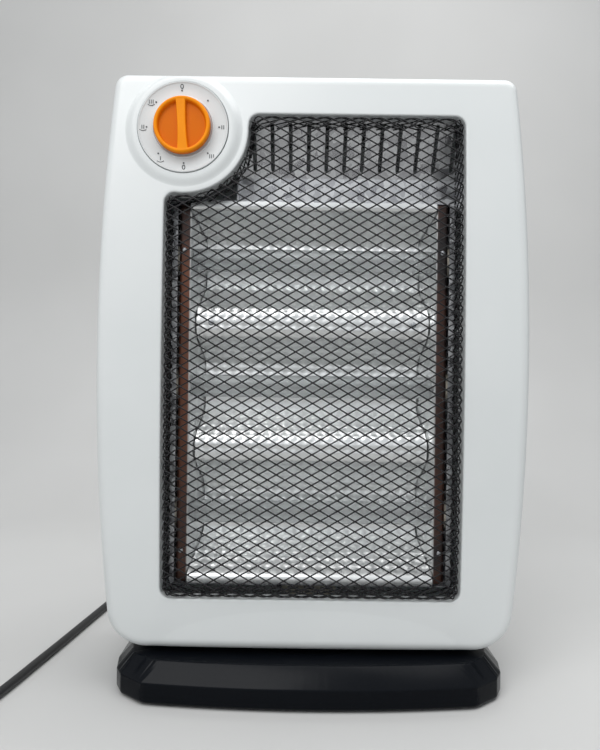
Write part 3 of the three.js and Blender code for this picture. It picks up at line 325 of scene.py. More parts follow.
def smooth_through(points, steps=8):
    """A centripetal Catmull-Rom curve through points: each span blends four neighbours by root distance."""
    p = np.vstack([2 * points[0] - points[1], points, 2 * points[-1] - points[-2]])
    knot = np.concatenate([[0], np.cumsum(np.sqrt(np.linalg.norm(np.diff(p, axis=0), axis=1)))])
    spans = np.arange(1, len(points))
    width = (knot[spans + 1] - knot[spans])[:, None]
    t = (knot[spans][:, None] + width * np.arange(steps) / steps)[..., None]

    def mix(a, b, ka, kb):
        ka, kb = ka[:, None, None], kb[:, None, None]
        return a * (kb - t) / (kb - ka) + b * (t - ka) / (kb - ka)
    k0, k1, k2, k3 = (knot[spans + i - 1] for i in range(4))
    p0, p1, p2, p3 = (p[spans + i - 1][:, None] for i in range(4))
    a1, a2, a3 = mix(p0, p1, k0, k1), mix(p1, p2, k1, k2), mix(p2, p3, k2, k3)
    curve = mix(mix(a1, a2, k0, k2), mix(a2, a3, k1, k3), k1, k2)
    return np.vstack([curve.reshape(-1, 3), points[-1:]])


def make_cord(finish):
    """The whole cord as one curve: the loose stretch, then the coil."""
    coil, heading = coil_path()
    back = coil[0] - coil[1]
    back /= np.linalg.norm(back)
    joins = coil[0] + np.array([[14.0], [7.0], [0.3]]) * back
    loose = smooth_through(np.vstack([CORD_ROUTE, joins]))
    path = np.vstack([loose, coil])
    data = bpy.data.curves.new("mains_cord", "CURVE")
    data.dimensions = "3D"
    data.bevel_depth, data.bevel_resolution, data.use_fill_caps = CORD_RADIUS * MM, 4, True
    spline = data.splines.new("POLY")
    spline.points.add(len(path) - 1)
    spline.points.foreach_set("co", np.column_stack([path * MM, np.ones(len(path))]).ravel())
    spline.use_smooth = True
    data.materials.append(finish)
    cord = bpy.data.objects.new("mains_cord", data)
    bpy.context.scene.collection.objects.link(cord)
    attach(cord, "base")
    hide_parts("cord", "cord_coil")
    return cord, path, heading


# ---- Materials ------------------------------------------------------------------------------------

class Shade:
    """A number in a material's tree; arithmetic on it adds Math nodes."""

    def __init__(self, finish, socket):
        self.finish, self.socket = finish, socket

    def math(self, operation, *others):
        return self.finish.node("ShaderNodeMath", {"operation": operation}, self, *others)["Value"]

    def __add__(self, other):
        return self.math("ADD", other)

    __radd__ = __add__

    def __mul__(self, other):
        return self.math("MULTIPLY", other)

    def __pow__(self, other):
        return self.math("POWER", other)


class Finish:
    """A material with one Principled shader. Constants are set on its sockets; feed links what varies."""

    def __init__(self, name, colour, roughness, metallic=0.0, **constants):
        self.material = bpy.data.materials.new(name)
        self.material.use_nodes = True
        self.tree = self.material.node_tree
        self.shader = self.tree.nodes["Principled BSDF"]
        self.shader.inputs["Base Color"].default_value = (*colour, 1)
        self.shader.inputs["Roughness"].default_value = roughness
        self.shader.inputs["Metallic"].default_value = metallic
        for socket, value in constants.items():
            self.shader.inputs[socket.replace("_", " ").title().replace("Ior", "IOR")].default_value = value

    def node(self, kind, settings, *values, **named):
        """Adds a node: its settings, then values or links for its sockets. Gives its outputs by name."""
        made = self.tree.nodes.new(kind)
        for key, value in settings.items():
            if key == "stops":
                ramp = made.color_ramp
                while len(ramp.elements) < len(value):
                    ramp.elements.new(0.5)
                for element, (position, colour) in zip(ramp.elements, value):
                    element.position, element.color = position, (*colour, 1)
            else:
                setattr(made, key, value)
        pairs = list(zip(made.inputs, values))
        pairs += [(made.inputs[key.replace("_", " ")], value) for key, value in named.items()]
        for socket, value in pairs:
            if isinstance(value, Shade):
                self.tree.links.new(value.socket, socket)
            else:
                socket.default_value = value
        return {output.name: Shade(self, output) for output in made.outputs if output.enabled}

    def feed(self, socket, value):
        self.tree.links.new(value.socket, self.shader.inputs[socket])
        return self

    def where(self, scale=(1, 1, 1)):
        """The place on the object, stretched by a scale, in metres."""
        place = self.node("ShaderNodeTexCoord", {})["Object"]
        return self.node("ShaderNodeMapping", {}, Vector=place, Scale=scale)["Vector"]

    def noise(self, scale, detail=3.0, stretch=(1, 1, 1), roughness=0.5):
        """Fractal noise from 0 to 1, scale in cycles a metre."""
        return self.node("ShaderNodeTexNoise", {}, Vector=self.where(stretch), Scale=scale, Detail=detail,
                         Roughness=roughness)["Fac"]

    def vector(self, operation, first, second):
        return self.node("ShaderNodeVectorMath", {"operation": operation}, first, second)["Vector"]

    def along(self, axis):
        """One coordinate of the place on the object."""
        return self.node("ShaderNodeSeparateXYZ", {}, self.where())[axis]

    def between(self, amount, low, high):
        """From 0 to 1 as an amount runs from low to high."""
        return self.node("ShaderNodeMapRange", {}, amount, low, high)["Result"]

    def jitter(self, scale, size):
        """A small shift in all directions, up to size in metres, that varies over the surface."""
        cloud = self.node("ShaderNodeTexNoise", {}, Vector=self.where(), Scale=scale, Detail=2.0)["Color"]
        return self.vector("MULTIPLY", self.vector("SUBTRACT", cloud, (0.5,) * 3), (size,) * 3)

    def ramp(self, amount, *stops):
        return self.node("ShaderNodeValToRGB", {"stops": stops}, amount)["Color"]

    def mix(self, amount, first, second):
        """Two colours mixed by an amount."""
        made = self.node("ShaderNodeMix", {"data_type": "RGBA"}, amount)
        mixer = self.tree.nodes[-1]
        for socket, value in zip((mixer.inputs[6], mixer.inputs[7]), (first, second)):
            if isinstance(value, Shade):
                self.tree.links.new(value.socket, socket)
            else:
                socket.default_value = (*value, 1)
        return Shade(self, mixer.outputs[2])

    def gloss(self, low, spread, scale, detail=3, stretch=(1, 1, 1)):
        """Feeds a roughness that wanders upwards from low by a share of a noise."""
        return self.feed("Roughness", low + self.noise(scale, detail, stretch) * spread)

    def bump(self, height, depth):
        """Feeds a height from 0 to 1 into the normal, with a depth in millimetres."""
        bumped = self.node("ShaderNodeBump", {}, Distance=depth * MM, Height=height)
        return self.feed("Normal", bumped["Normal"])


def white_shell():
    """Glossy moulded white: faint mottling, a fine orange-peel skin and uneven gloss."""
    finish = Finish("white_shell", (0.76, 0.79, 0.79), 0.3, specular_ior_level=0.5)
    cloud = finish.noise(9, 4)
    finish.feed("Base Color", finish.ramp(cloud, (0.3, (0.745, 0.775, 0.775)), (0.7, (0.785, 0.81, 0.81))))
    finish.gloss(0.27, 0.08, 60)
    finish.bump(finish.noise(900, 2), 0.012)
    return finish.material


def black_gloss():
    """Glossy moulded black with a bluish cast, hair scratches and a little dust."""
    finish = Finish("black_gloss", (0.003, 0.004, 0.006), 0.2, specular_ior_level=0.08)
    dust = finish.noise(700, 4, roughness=0.7) ** 6
    finish.feed("Base Color", finish.mix(dust, (0.003, 0.004, 0.006), (0.02, 0.022, 0.026)))
    finish.gloss(0.14, 0.1, 35, 4)
    finish.bump(finish.noise(160, 4, stretch=(0.2, 1, 1)), 0.012)
    return finish.material


def dark_plastic():
    """Spark-eroded black plastic."""
    finish = Finish("dark_plastic", (0.025, 0.025, 0.027), 0.55)
    finish.gloss(0.48, 0.15, 200)
    finish.bump(finish.noise(2500, 2), 0.03)
    return finish.material


def cord_rubber():
    """Black sheath with a soft sheen and fine grain."""
    finish = Finish("cord_rubber", (0.014, 0.014, 0.015), 0.42)
    finish.gloss(0.36, 0.16, 300)
    finish.bump(finish.noise(1800, 2), 0.03)
    return finish.material


def foot_rubber():
    finish = Finish("foot_rubber", (0.02, 0.02, 0.02), 0.8)
    finish.gloss(0.7, 0.2, 400)
    finish.bump(finish.noise(1500, 3), 0.05)
    return finish.material


def dial_ring():
    """Pale moulded ring, satin, a shade greyer than the shell."""
    finish = Finish("dial_ring", (0.66, 0.68, 0.68), 0.3)
    cloud = finish.noise(40, 3)
    finish.feed("Base Color", finish.ramp(cloud, (0.3, (0.64, 0.66, 0.66)), (0.7, (0.69, 0.71, 0.71))))
    finish.gloss(0.26, 0.1, 150)
    finish.bump(finish.noise(1500, 2), 0.008)
    return finish.material


def orange_knob():
    """Orange moulded plastic: a fine matt grain, and painted shade that darkens the dish towards its floor."""
    finish = Finish("orange_knob", (0.95, 0.3, 0.006), 0.4, specular_ior_level=0.1)
    # painted shade: from y -76.3 mm back to -74.2 mm the dish turns a deeper orange, for the shade down in the
    # recess
    low = finish.between(finish.along("Y"), -0.0763, -0.0742)
    grain = finish.ramp(finish.noise(60, 3), (0.3, (0.9, 0.275, 0.005)), (0.7, (1.0, 0.32, 0.007)))
    finish.feed("Base Color", finish.mix(low, grain, (0.72, 0.16, 0.001)))
    finish.gloss(0.36, 0.1, 300)
    finish.bump(finish.noise(3000, 2), 0.012)
    return finish.material


def mark_print():
    """Dark grey printed marks, a little worn."""
    finish = Finish("mark_print", (0.05, 0.055, 0.06), 0.5)
    wear = finish.noise(1500, 3)
    finish.feed("Base Color", finish.ramp(wear, (0.35, (0.02, 0.022, 0.025)), (0.75, (0.06, 0.065, 0.07))))
    return finish.material


def guard_wire():
    """Black lacquered wire: satin lacquer with small runs."""
    finish = Finish("guard_wire", (0.004, 0.004, 0.005), 0.42, specular_ior_level=0.3)
    finish.gloss(0.34, 0.2, 500)
    finish.bump(finish.noise(1200, 3), 0.05)
    return finish.material


def zinc_plate():
    """Galvanised sheet: crystals a few millimetres across, each its own grey and gloss."""
    finish = Finish("zinc_plate", (0.42, 0.43, 0.45), 0.4, 1.0)
    ragged = finish.vector("ADD", finish.where(), finish.jitter(300, 0.004))
    crystal = finish.node("ShaderNodeTexVoronoi", {}, Vector=ragged, Scale=190.0)
    grey = finish.node("ShaderNodeSeparateColor", {}, crystal["Color"])["Red"]
    blend = grey * 0.7 + finish.noise(900, 4) * 0.3
    finish.feed("Base Color", finish.ramp(blend, (0.15, (0.42, 0.42, 0.44)), (0.85, (0.86, 0.87, 0.88))))
    finish.feed("Roughness", 0.26 + grey * 0.22)
    finish.bump(finish.noise(900, 4), 0.05)
    return finish.material


def bright_sheet(name, flange_reflection):
    """Bright rolled sheet, clouded a little by heat; when asked, the front flange carries a painted reflection
    in dark brown, for a wooden table.
    """
    finish = Finish(name, (0.88, 0.89, 0.88), 0.3, 1.0)
    cloud = finish.noise(30, 5)
    bright = finish.ramp(cloud, (0.3, (0.84, 0.85, 0.845)), (0.7, (0.94, 0.945, 0.94)))
    if flange_reflection:
        # painted reflection: past |x| 93.5 mm the flange is dark brown, standing in for a wooden table
        # reflected in it
        reflection_mask = finish.between(finish.along("X").math("ABSOLUTE"), 0.0925, 0.0935)
        brown = finish.ramp(finish.noise(14, 4), (0.35, (0.05, 0.045, 0.045)), (0.65, (0.2, 0.09, 0.06)))
        bright = finish.mix(reflection_mask, bright, brown)
    finish.feed("Base Color", bright)
    finish.gloss(0.24, 0.16, 120, 4, stretch=(0.15, 1, 1))
    finish.bump(finish.noise(400, 3, stretch=(0.1, 1, 1)), 0.02)
    return finish.material


def reflector_sheet():
    return bright_sheet("reflector_sheet", False)


def end_sheet():
    return bright_sheet("end_sheet", True)


def plain_steel():
    finish = Finish("plain_steel", (0.45, 0.46, 0.48), 0.35, 1.0)
    finish.gloss(0.28, 0.2, 300, 4, stretch=(1, 1, 6))
    finish.bump(finish.noise(900, 3), 0.02)
    return finish.material


def nickel_pin():
    finish = Finish("nickel_pin", (0.66, 0.65, 0.63), 0.18, 1.0)
    finish.gloss(0.12, 0.18, 500, 4, stretch=(1, 0.2, 1))
    return finish.material


def turned_brass():
    finish = Finish("turned_brass", (0.66, 0.48, 0.2), 0.25, 1.0)
    finish.gloss(0.2, 0.2, 600, stretch=(1, 8, 1))
    return finish.material


def satin_quartz():
    """Sandblasted quartz: half clear, with a fine grain."""
    finish = Finish("satin_quartz", (0.9, 0.92, 0.92), 0.45, transmission_weight=0.9, ior=1.3)
    finish.feed("Base Color", finish.ramp(finish.noise(80, 3, stretch=(0.1, 1, 1)),
                                          (0.3, (0.88, 0.9, 0.9)), (0.7, (0.96, 0.97, 0.97))))
    finish.gloss(0.42, 0.16, 900)
    finish.bump(finish.noise(1500, 2), 0.01)
    return finish.material


def heater_wire():
    finish = Finish("heater_wire", (0.2, 0.19, 0.19), 0.45, 1.0)
    finish.gloss(0.38, 0.2, 900)
    return finish.material


def cream_ceramic():
    """Unglazed ceramic, chalky with small pits."""
    finish = Finish("cream_ceramic", (0.72, 0.67, 0.57), 0.75)
    pits = finish.noise(1100, 4) ** 4
    finish.feed("Base Color", finish.mix(pits, (0.74, 0.69, 0.59), (0.5, 0.45, 0.38)))
    finish.bump(finish.noise(1400, 4), 0.08)
    return finish.material


FINISHES = {maker.__name__: maker() for maker in (
    white_shell, black_gloss, dark_plastic, cord_rubber, foot_rubber, dial_ring, orange_knob, mark_print,
    guard_wire, zinc_plate, reflector_sheet, end_sheet, plain_steel, nickel_pin, turned_brass, satin_quartz,
    heater_wire, cream_ceramic)}

SLOT_FINISH = {
    "white_shell": "white_shell", "black_gloss": "black_gloss", "dark_plastic": "dark_plastic",
    "foot_rubber": "foot_rubber", "cord_rubber": "cord_rubber", "dial_ring": "dial_ring",
    "orange_knob": "orange_knob", "guard_wire": "guard_wire", "zinc_plate": "zinc_plate",
    "reflector_sheet": "reflector_sheet", "steel": "plain_steel", "plug_pin": "nickel_pin",
    "brass": "turned_brass", "quartz": "satin_quartz", "filament": "heater_wire", "ceramic": "cream_ceramic",
}


def dress_solids():
    """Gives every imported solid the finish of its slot."""
    for part in frame["record"]["subparts"]:
        mesh = frame["nodes"][part["node"]].data
        mesh.materials.clear()
        mesh.materials.append(FINISHES[SLOT_FINISH[part["material_slot"]]])


# ---- Housing --------------------------------------------------------------------------------------

def make_front_panel():
    """Rows from the back of the window's lip over its edge, across the face and round the side to the seam.

    Every row is an outline crossed by the same rays; across the face it is mixed between window and edge."""
    lip_edge = 1.3
    window, outside = window_outline(), silhouette()
    angles = ray_angles(RAY_CENTRE, window, outside)

    def crossed(outline):
        return on_rays(RAY_CENTRE, outline, angles)
    rim = crossed(window)
    rows = [upright(rim, WINDOW_LIP_BACK), upright(rim, (WINDOW_LIP_BACK + front_y(*rim.T)) / 2)]
    for turn in np.radians(np.linspace(0, 90, 6)):
        lifted = crossed(offset(window, lip_edge * (1 - math.cos(turn))))
        rows.append(upright(lifted, front_y(*lifted.T) + lip_edge * (1 - math.sin(turn))))
    inner, outer = crossed(offset(window, lip_edge)), crossed(offset(outside, -FRONT_EDGE))
    for share in np.linspace(0, 1, 30)[1:]:
        across = inner + (outer - inner) * share
        rows.append(upright(across, front_y(*across.T)))
    edge_y = front_y(*outer.T)
    for turn in np.radians(np.linspace(0, 90, 9))[1:]:
        ring = crossed(offset(outside, -FRONT_EDGE * (1 - math.sin(turn))))
        rows.append(upright(ring, edge_y + FRONT_EDGE * (1 - math.cos(turn))))
    wall_y = edge_y + FRONT_EDGE
    for share in (0.35, 0.7, 1):
        rows.append(upright(crossed(outside), wall_y + (PARTING_Y - wall_y) * share))
    patches = Patchwork().grid(np.stack(rows), close_columns=True, flip=True)
    make_piece("front_shell", patches, FINISHES["white_shell"], "housing", ["front_panel"],
               sharp=50, wall=WALL)


def make_dial_boss():
    """The raised boss round the dial: over angle and radius it falls in an S from its flat top to the face.

    Its foot is drawn in where the housing's top edge begins to round off."""
    angle = np.linspace(0, TURN, 180, endpoint=False)
    rise = np.clip(np.sin(angle), 1e-3, None)
    foot = np.minimum(BOSS_FOOT, (HOUSING_TOP - 1.6 - DIAL_Z) / rise)
    lip, quarter = 0.4, np.radians([0, 30, 60, 90])
    inner = np.concatenate([[0, 0, 0], lip * (1 - np.cos(quarter))])[:, None] + BOSS_RIM + 0 * angle
    flat_start = BOSS_RIM + 0.5
    flat = flat_start + (BOSS_FLAT - flat_start) * np.array([[0.3], [0.7]]) + 0 * angle
    share = np.linspace(0, 1, 26)[:, None]
    radius = np.concatenate([inner, flat, BOSS_FLAT + (foot - BOSS_FLAT) * share])
    depth = np.concatenate([[3.4, 2.0, 0.8], lip * (1 - np.sin(quarter)), np.zeros(28)])[:, None]
    x, z = DIAL_X + radius * np.cos(angle), DIAL_Z + radius * np.sin(angle)
    fall = np.concatenate([np.zeros((9, 1)), 0.5 * (1 - np.cos(np.pi * share ** 1.3))])
    face = front_y(x, np.minimum(z, HOUSING_TOP - FRONT_EDGE)) + drawn_in(HOUSING_TOP - z, FRONT_EDGE)
    y = BOSS_Y + depth + (face + 0.06 - BOSS_Y) * fall
    patches = Patchwork().grid(np.stack([x, y, z], -1), close_columns=True, flip=True)
    make_piece("dial_boss", patches, FINISHES["white_shell"], "housing", sharp=50)


def rear_y(x, z):
    """The back: flat, drawn in round its edges by the root of both edges' squares."""
    side = side_half(z) - REAR_DRAFT - np.abs(x)
    end = np.minimum(HOUSING_TOP - z, z - HOUSING_BOTTOM)
    return REAR_Y - np.sqrt(drawn_in(side, REAR_EDGE) ** 2 + drawn_in(end, REAR_EDGE) ** 2)


def strip_between(hole, frame_box, count=12):
    """A hole in a box-shaped cell as two rows: the hole's outline and the box's, side by side in step."""
    (x0, z0), (x1, z1) = frame_box
    corners = np.array([[x1, z0], [x1, z1], [x0, z1], [x0, z0]])
    box = np.vstack([a + (b - a) * np.linspace(0, 1, count, endpoint=False)[:, None]
                     for a, b in zip(corners, np.roll(corners, -1, 0))])
    return np.stack([hole, box])


def slot_outline(middle_z, length, height, count=12, radius=None):
    """An obround or rounded hole, anticlockwise from the lower right, with count points a side."""
    r = height / 2 if radius is None else radius
    across, up = length / 2 - r, height / 2 - r
    eighths = [(1, -1, -45), (1, 1, 0), (1, 1, 45), (-1, 1, 90), (-1, 1, 135), (-1, -1, 180), (-1, -1, 225),
               (1, -1, 270)]
    path = np.vstack([arc((right * across, middle_z + top * up), r, start, start + 45, 6)
                      for right, top, start in eighths])
    sides = np.split(path, 4)
    points = []
    for side, following in zip(sides, sides[1:] + sides[:1]):
        line = np.vstack([side, following[:1]])
        reach = np.concatenate([[0], np.cumsum(np.linalg.norm(np.diff(line, axis=0), axis=1))])
        at = np.linspace(0, reach[-1], count, endpoint=False)
        points.append(np.column_stack([np.interp(at, reach, line[:, 0]), np.interp(at, reach, line[:, 1])]))
    return np.vstack(points)


def make_rear_cover():
    """Rows from the seam back and round to a flat field, which is laid with slotted and plain cells."""
    half, low, high = 120.0, 54.0, 425.0
    grip_z, grip_low = 408.0, 390.0
    corners = np.array([[half, low], [half, high], [-half, high], [-half, low]])
    outside = silhouette()
    angles = ray_angles(RAY_CENTRE, outside, resampled(corners, 20))
    ring = on_rays(RAY_CENTRE, outside, angles)
    draft, seam_y = REAR_DRAFT / HALF_WIDTH, PARTING_Y + SEAM_GAP
    end_y = rear_y(ring[:, 0] * (1 - draft), ring[:, 1])
    rows = [upright(ring * [1 - draft * share, 1], seam_y + (end_y - seam_y) * share)
            for share in (0, 0.3, 0.65, 1)]
    for turn in np.radians(np.linspace(0, 90, 13))[1:]:
        inset = REAR_EDGE * (1 - math.cos(turn)) + 0.01
        x = ring[:, 0] * (1 - draft) * (1 - inset / HALF_WIDTH)
        z = FRONT_MID_Z + (ring[:, 1] - FRONT_MID_Z) * (1 - inset / FRONT_HALF_HEIGHT)
        rows.append(np.column_stack([x, rear_y(x, z), z]))
    rows.append(upright(on_rays(RAY_CENTRE, resampled(corners, 20), angles), REAR_Y))
    patches = Patchwork().grid(np.stack(rows), close_columns=True)

    def on_back(cell):
        return np.stack([upright(row, REAR_Y) for row in cell])
    grip = slot_outline(grip_z, 116.0, 28.0, radius=6.0)
    patches.grid(on_back(strip_between(grip, ((-half, grip_low), (half, high)))), close_columns=True)
    floor_y, floor_ring = 14.5, (grip - [0, grip_z]) * [0.95, 0.8] + [0, grip_z]
    pocket = [upright(grip, REAR_Y), upright(grip, 41.2), upright(grip * [0.985, 1], 18.0),
              upright(floor_ring, floor_y), upright(np.repeat([[0, grip_z]], len(grip), 0), floor_y)]
    patches.grid(np.stack(pocket[::-1]), close_columns=True)
    for top, count in ((374.0, 6), (118.0, 5)):
        for row in range(count):
            middle = top - 12 * row
            cell = strip_between(slot_outline(middle, 150, 4.5), ((-half, middle - 6), (half, middle + 6)))
            patches.grid(on_back(cell), close_columns=True)
    x = np.linspace(-half, half, 13)
    for bottom, top in ((380.0, grip_low), (124.0, 308.0), (low, 64.0)):
        patches.grid(np.stack([upright(np.column_stack([x, np.full(13, z)]), REAR_Y) for z in (top, bottom)]))
    make_piece("rear_shell", patches, FINISHES["white_shell"], "housing", ["rear_cover"],
               sharp=40, turn_out=True, wall=WALL)


# ---- Dial and knob --------------------------------------------------------------------------------

def make_dial_ring():
    """A shallow ring with a fine rim outside and a raised lip round the knob, turned from its profile."""
    face, rim = -70.55, 32.0
    profile = [(6.5, -68.9), (rim, -68.9), (rim, -71.1), (rim - 0.15, -71.35), (rim - 0.45, -71.4),
               (rim - 0.8, -71.3), (rim - 1.15, -71.0), (rim - 1.6, -70.9), (27, -70.7), (22.6, face),
               (22.1, -70.65), (21.8, -70.95), (21.4, -71.1), (21.0, -71.0), (20.8, -70.6), (20.6, -70.2),
               (6.5, -70.2), (6.5, -68.9)]
    patches = Patchwork().grid(turned(profile, 160, "y", (DIAL_X, 0, DIAL_Z)), close_columns=True)
    make_piece("dial_face", patches, FINISHES["dial_ring"], "housing", ["dial_plate"],
               sharp=40, turn_out=True)


def make_knob():
    """The knob's face as a height over radius and angle: a dish and a waisted bar, the nearer one wins."""
    angle = np.linspace(0, TURN, 320, endpoint=False)
    radius = np.concatenate([np.linspace(0, 16.2, 70), np.linspace(16.3, 18.9, 26), [19.3, 19.6]])
    x, z = radius[:, None] * np.cos(angle), radius[:, None] * np.sin(angle)
    wall = np.interp(radius, [0, 16.0, 16.5, 17.2, 17.5, 17.9, 18.4, 19.0, 19.3, 19.6],
                     [-73.5, -73.4, -73.7, -75.9, -76.3, -76.5, -76.6, -76.55, -76.4, -76.0])[:, None] + 0 * x
    half = 2.95 + np.where(z < 0, 1.0, 0.6) * (z / KNOB_BAR_HALF) ** 2
    side = np.clip((np.abs(x) - half + 0.35) / 0.8, 0, 1)
    bar = KNOB_FRONT + 0.05 + (KNOB_FLOOR - KNOB_FRONT + 0.5) * side ** 1.5 + 8 * (radius[:, None] > 18.6)
    soft = 0.14
    y = -soft * np.logaddexp(-wall / soft, -bar / soft)
    face = np.stack([x, y, z], -1)
    hub, hub_end = 5.6, -66
    skirt = turned([(19.85, -75.4), (KNOB_RADIUS, -74.6), (KNOB_RADIUS, -72.4), (19.7, KNOB_BACK),
                    (hub, KNOB_BACK), (hub, hub_end), (0, hub_end)], 320, "y")
    shape = np.concatenate([face, skirt])
    lean = np.array([[math.cos(KNOB_LEAN), 0, math.sin(KNOB_LEAN)], [0, 1, 0],
                     [-math.sin(KNOB_LEAN), 0, math.cos(KNOB_LEAN)]])
    shape = shape @ lean + (DIAL_X, 0, DIAL_Z)
    patches = Patchwork().grid(shape, close_columns=True)
    make_piece("turning_knob", patches, FINISHES["orange_knob"], "knob", ["control_knob"],
               sharp=60, turn_out=True)


def ribbon(line, width):
    """A flat stroke along a line of x and z: the line moved half the width to either side."""
    ahead = np.gradient(line, axis=0)
    side = np.column_stack([-ahead[:, 1], ahead[:, 0]]) / np.linalg.norm(ahead, axis=1)[:, None] * width / 2
    return np.stack([line - side, line + side])


DIAL_SIGNS = [                    # angle, bars (0 a nought, None nothing), bow below, shift from the dot
    (90, 0, False, (0.0, 2.9)), (45, None, False, (0, 0)), (-2, 2, False, (2.6, 0.0)),
    (-48, 3, False, (2.8, -2.2)), (-90, 0, False, (0.0, -2.9)), (-134, 1, True, (1.6, -3.4)),
    (179, 2, True, (-2.6, 0.1)), (136, 3, True, (-3.5, 0.3)),
]


def make_dial_marks():
    """Off, the heats and the heats with the swing: a nought, bars and a small bow, each beside its dot.

    A stroke is a line widened to both sides; a dot is a disc of chords."""
    lean, dot_radius, dot_size = math.radians(2), 25.6, 0.6
    face, bar_pitch, bar_half = -70.98, 1.35, 1.4
    patches = Patchwork()

    def lay(outline):
        patches.grid(np.stack([upright(row, face) for row in outline]))
    bow = np.column_stack([np.linspace(-2.4, 2.4, 9), 0.9 * np.linspace(-1, 1, 9) ** 2 - 2.7])
    nought = arc((0, 0), 1, 0, 360, 28) * [0.95, 1.45]
    chord = np.linspace(-dot_size, dot_size, 9)
    height = np.sqrt(dot_size ** 2 - chord ** 2)
    disc = np.stack([np.column_stack([chord, -height]), np.column_stack([chord, height])])
    for degrees, bars, swings, shift in DIAL_SIGNS:
        turn = math.radians(degrees) + lean
        dot = np.array([DIAL_X, DIAL_Z]) + dot_radius * np.array([math.cos(turn), math.sin(turn)])
        lay(disc + dot)
        middle = dot + shift
        if bars == 0:
            lay(ribbon(nought, 0.55) + middle)
        for number in range(bars or 0):
            x = (number - (bars - 1) / 2) * bar_pitch
            lay(ribbon(np.array([[x, -bar_half], [x, bar_half]]), 0.5) + middle)
        if swings:
            lay(ribbon(bow, 0.42) + middle)
    make_piece("dial_marks", patches, FINISHES["mark_print"], "housing", wall=0.1)


# ---- Guard ----------------------------------------------------------------------------------------

DIAMOND = (12.4, 7.2)             # one gap between strands, wide and high
GUARD_INSET, GUARD_PROUD = 1.6, 2.4   # inside the window's edge, ahead of the panel's face
GUARD_BACK, FOLD = -45.8, 2.8     # where the folded border ends, and the radius of its fold
WIRE, WEAVE = 0.5, 0.15           # a strand's radius, and how far each set lies off the net's middle


class Edge:
    """The guard's own outline: where a length along it lies, and which way is out."""

    def __init__(self):
        outline = offset(window_outline(), -GUARD_INSET - WIRE)
        self.closed = np.vstack([outline, outline[:1]])
        self.steps = np.diff(self.closed, axis=0)
        sizes = np.linalg.norm(self.steps, axis=1)
        self.reach = np.concatenate([[0], np.cumsum(sizes)])
        self.out = np.column_stack([self.steps[:, 1], -self.steps[:, 0]]) / sizes[:, None]

    def at(self, length):
        """Point and outward direction at lengths along the outline, which runs round again after its end."""
        length = np.mod(length, self.reach[-1])
        point = np.column_stack([np.interp(length, self.reach, self.closed[:, k]) for k in (0, 1)])
        return point, self.out[np.clip(np.searchsorted(self.reach, length) - 1, 0, len(self.out) - 1)]

    def holds(self, points):
        """Whether points lie inside: an odd number of sides crosses the level line to their right."""
        a, b = self.closed[:-1, None], self.closed[1:, None]
        spans = (a[..., 1] > points[:, 1]) != (b[..., 1] > points[:, 1])
        rise = np.where(b[..., 1] == a[..., 1], 1, b[..., 1] - a[..., 1])
        x = a[..., 0] + (points[:, 1] - a[..., 1]) * (b[..., 0] - a[..., 0]) / rise
        return (spans & (x > points[:, 0])).sum(0) % 2 == 1


def strand_levels(edge, square):
    """The strands of one set: how far each lies from the origin, square to its run."""
    gap = DIAMOND[0] * DIAMOND[1] / math.hypot(*DIAMOND)
    reach = edge.closed @ square
    return np.arange(math.ceil(reach.min() / gap), math.floor(reach.max() / gap) + 1) * gap + 0.3


def strand_directions():
    """For both sets of strands: along the strand, and square to it."""
    ahead = np.array([[DIAMOND[0], DIAMOND[1]], [DIAMOND[0], -DIAMOND[1]]]) / math.hypot(*DIAMOND)
    return [(a, np.array([-a[1], a[0]])) for a in ahead]


def guard_strands(edge):
    """Straight slanting lines, cut where they cross the outline: its lengths at both ends of each."""
    for ahead, square in strand_directions():
        for level in strand_levels(edge, square):
            side = edge.closed @ square - level
            crossing = np.nonzero((side[:-1] > 0) != (side[1:] > 0))[0]
            share = side[crossing] / (side[crossing] - side[crossing + 1])
            length = edge.reach[crossing] + share * np.diff(edge.reach)[crossing]
            point = edge.at(length)[0]
            order = np.argsort(point @ ahead)
            length, point = length[order], point[order]
            for first in range(len(order) - 1):
                middle = (point[first:first + 1] + point[first + 1:first + 2]) / 2
                if edge.holds(middle)[0] and np.linalg.norm(point[first + 1] - point[first]) > 2 * FOLD:
                    yield length[first], length[first + 1], ahead


def folded(edge, length, run):
    """A strand's way over the edge: its outward run turns back along y on an arc, its sideways run goes on
    along the outline."""
    point, out = (v[0] for v in edge.at(np.array([length])))
    along = np.array([-out[1], out[0]])
    ratio = np.clip((run @ along) / max(run @ out, 0.3), -1.8, 1.8)
    quarter = np.linspace(0, np.pi / 2, 6)
    deep = GUARD_BACK - (front_y(*point) - GUARD_PROUD) - FOLD
    more = np.linspace(0, 1, 6)[1:] * deep
    travelled = np.concatenate([FOLD * (quarter - 1), FOLD * (np.pi / 2 - 1) + more])
    inset = np.concatenate([FOLD * (1 - np.sin(quarter)), np.zeros(5)])
    back = np.concatenate([FOLD * (1 - np.cos(quarter)), FOLD + more])
    place, outwards = edge.at(length + ratio * travelled)
    return place - outwards * inset[:, None], back


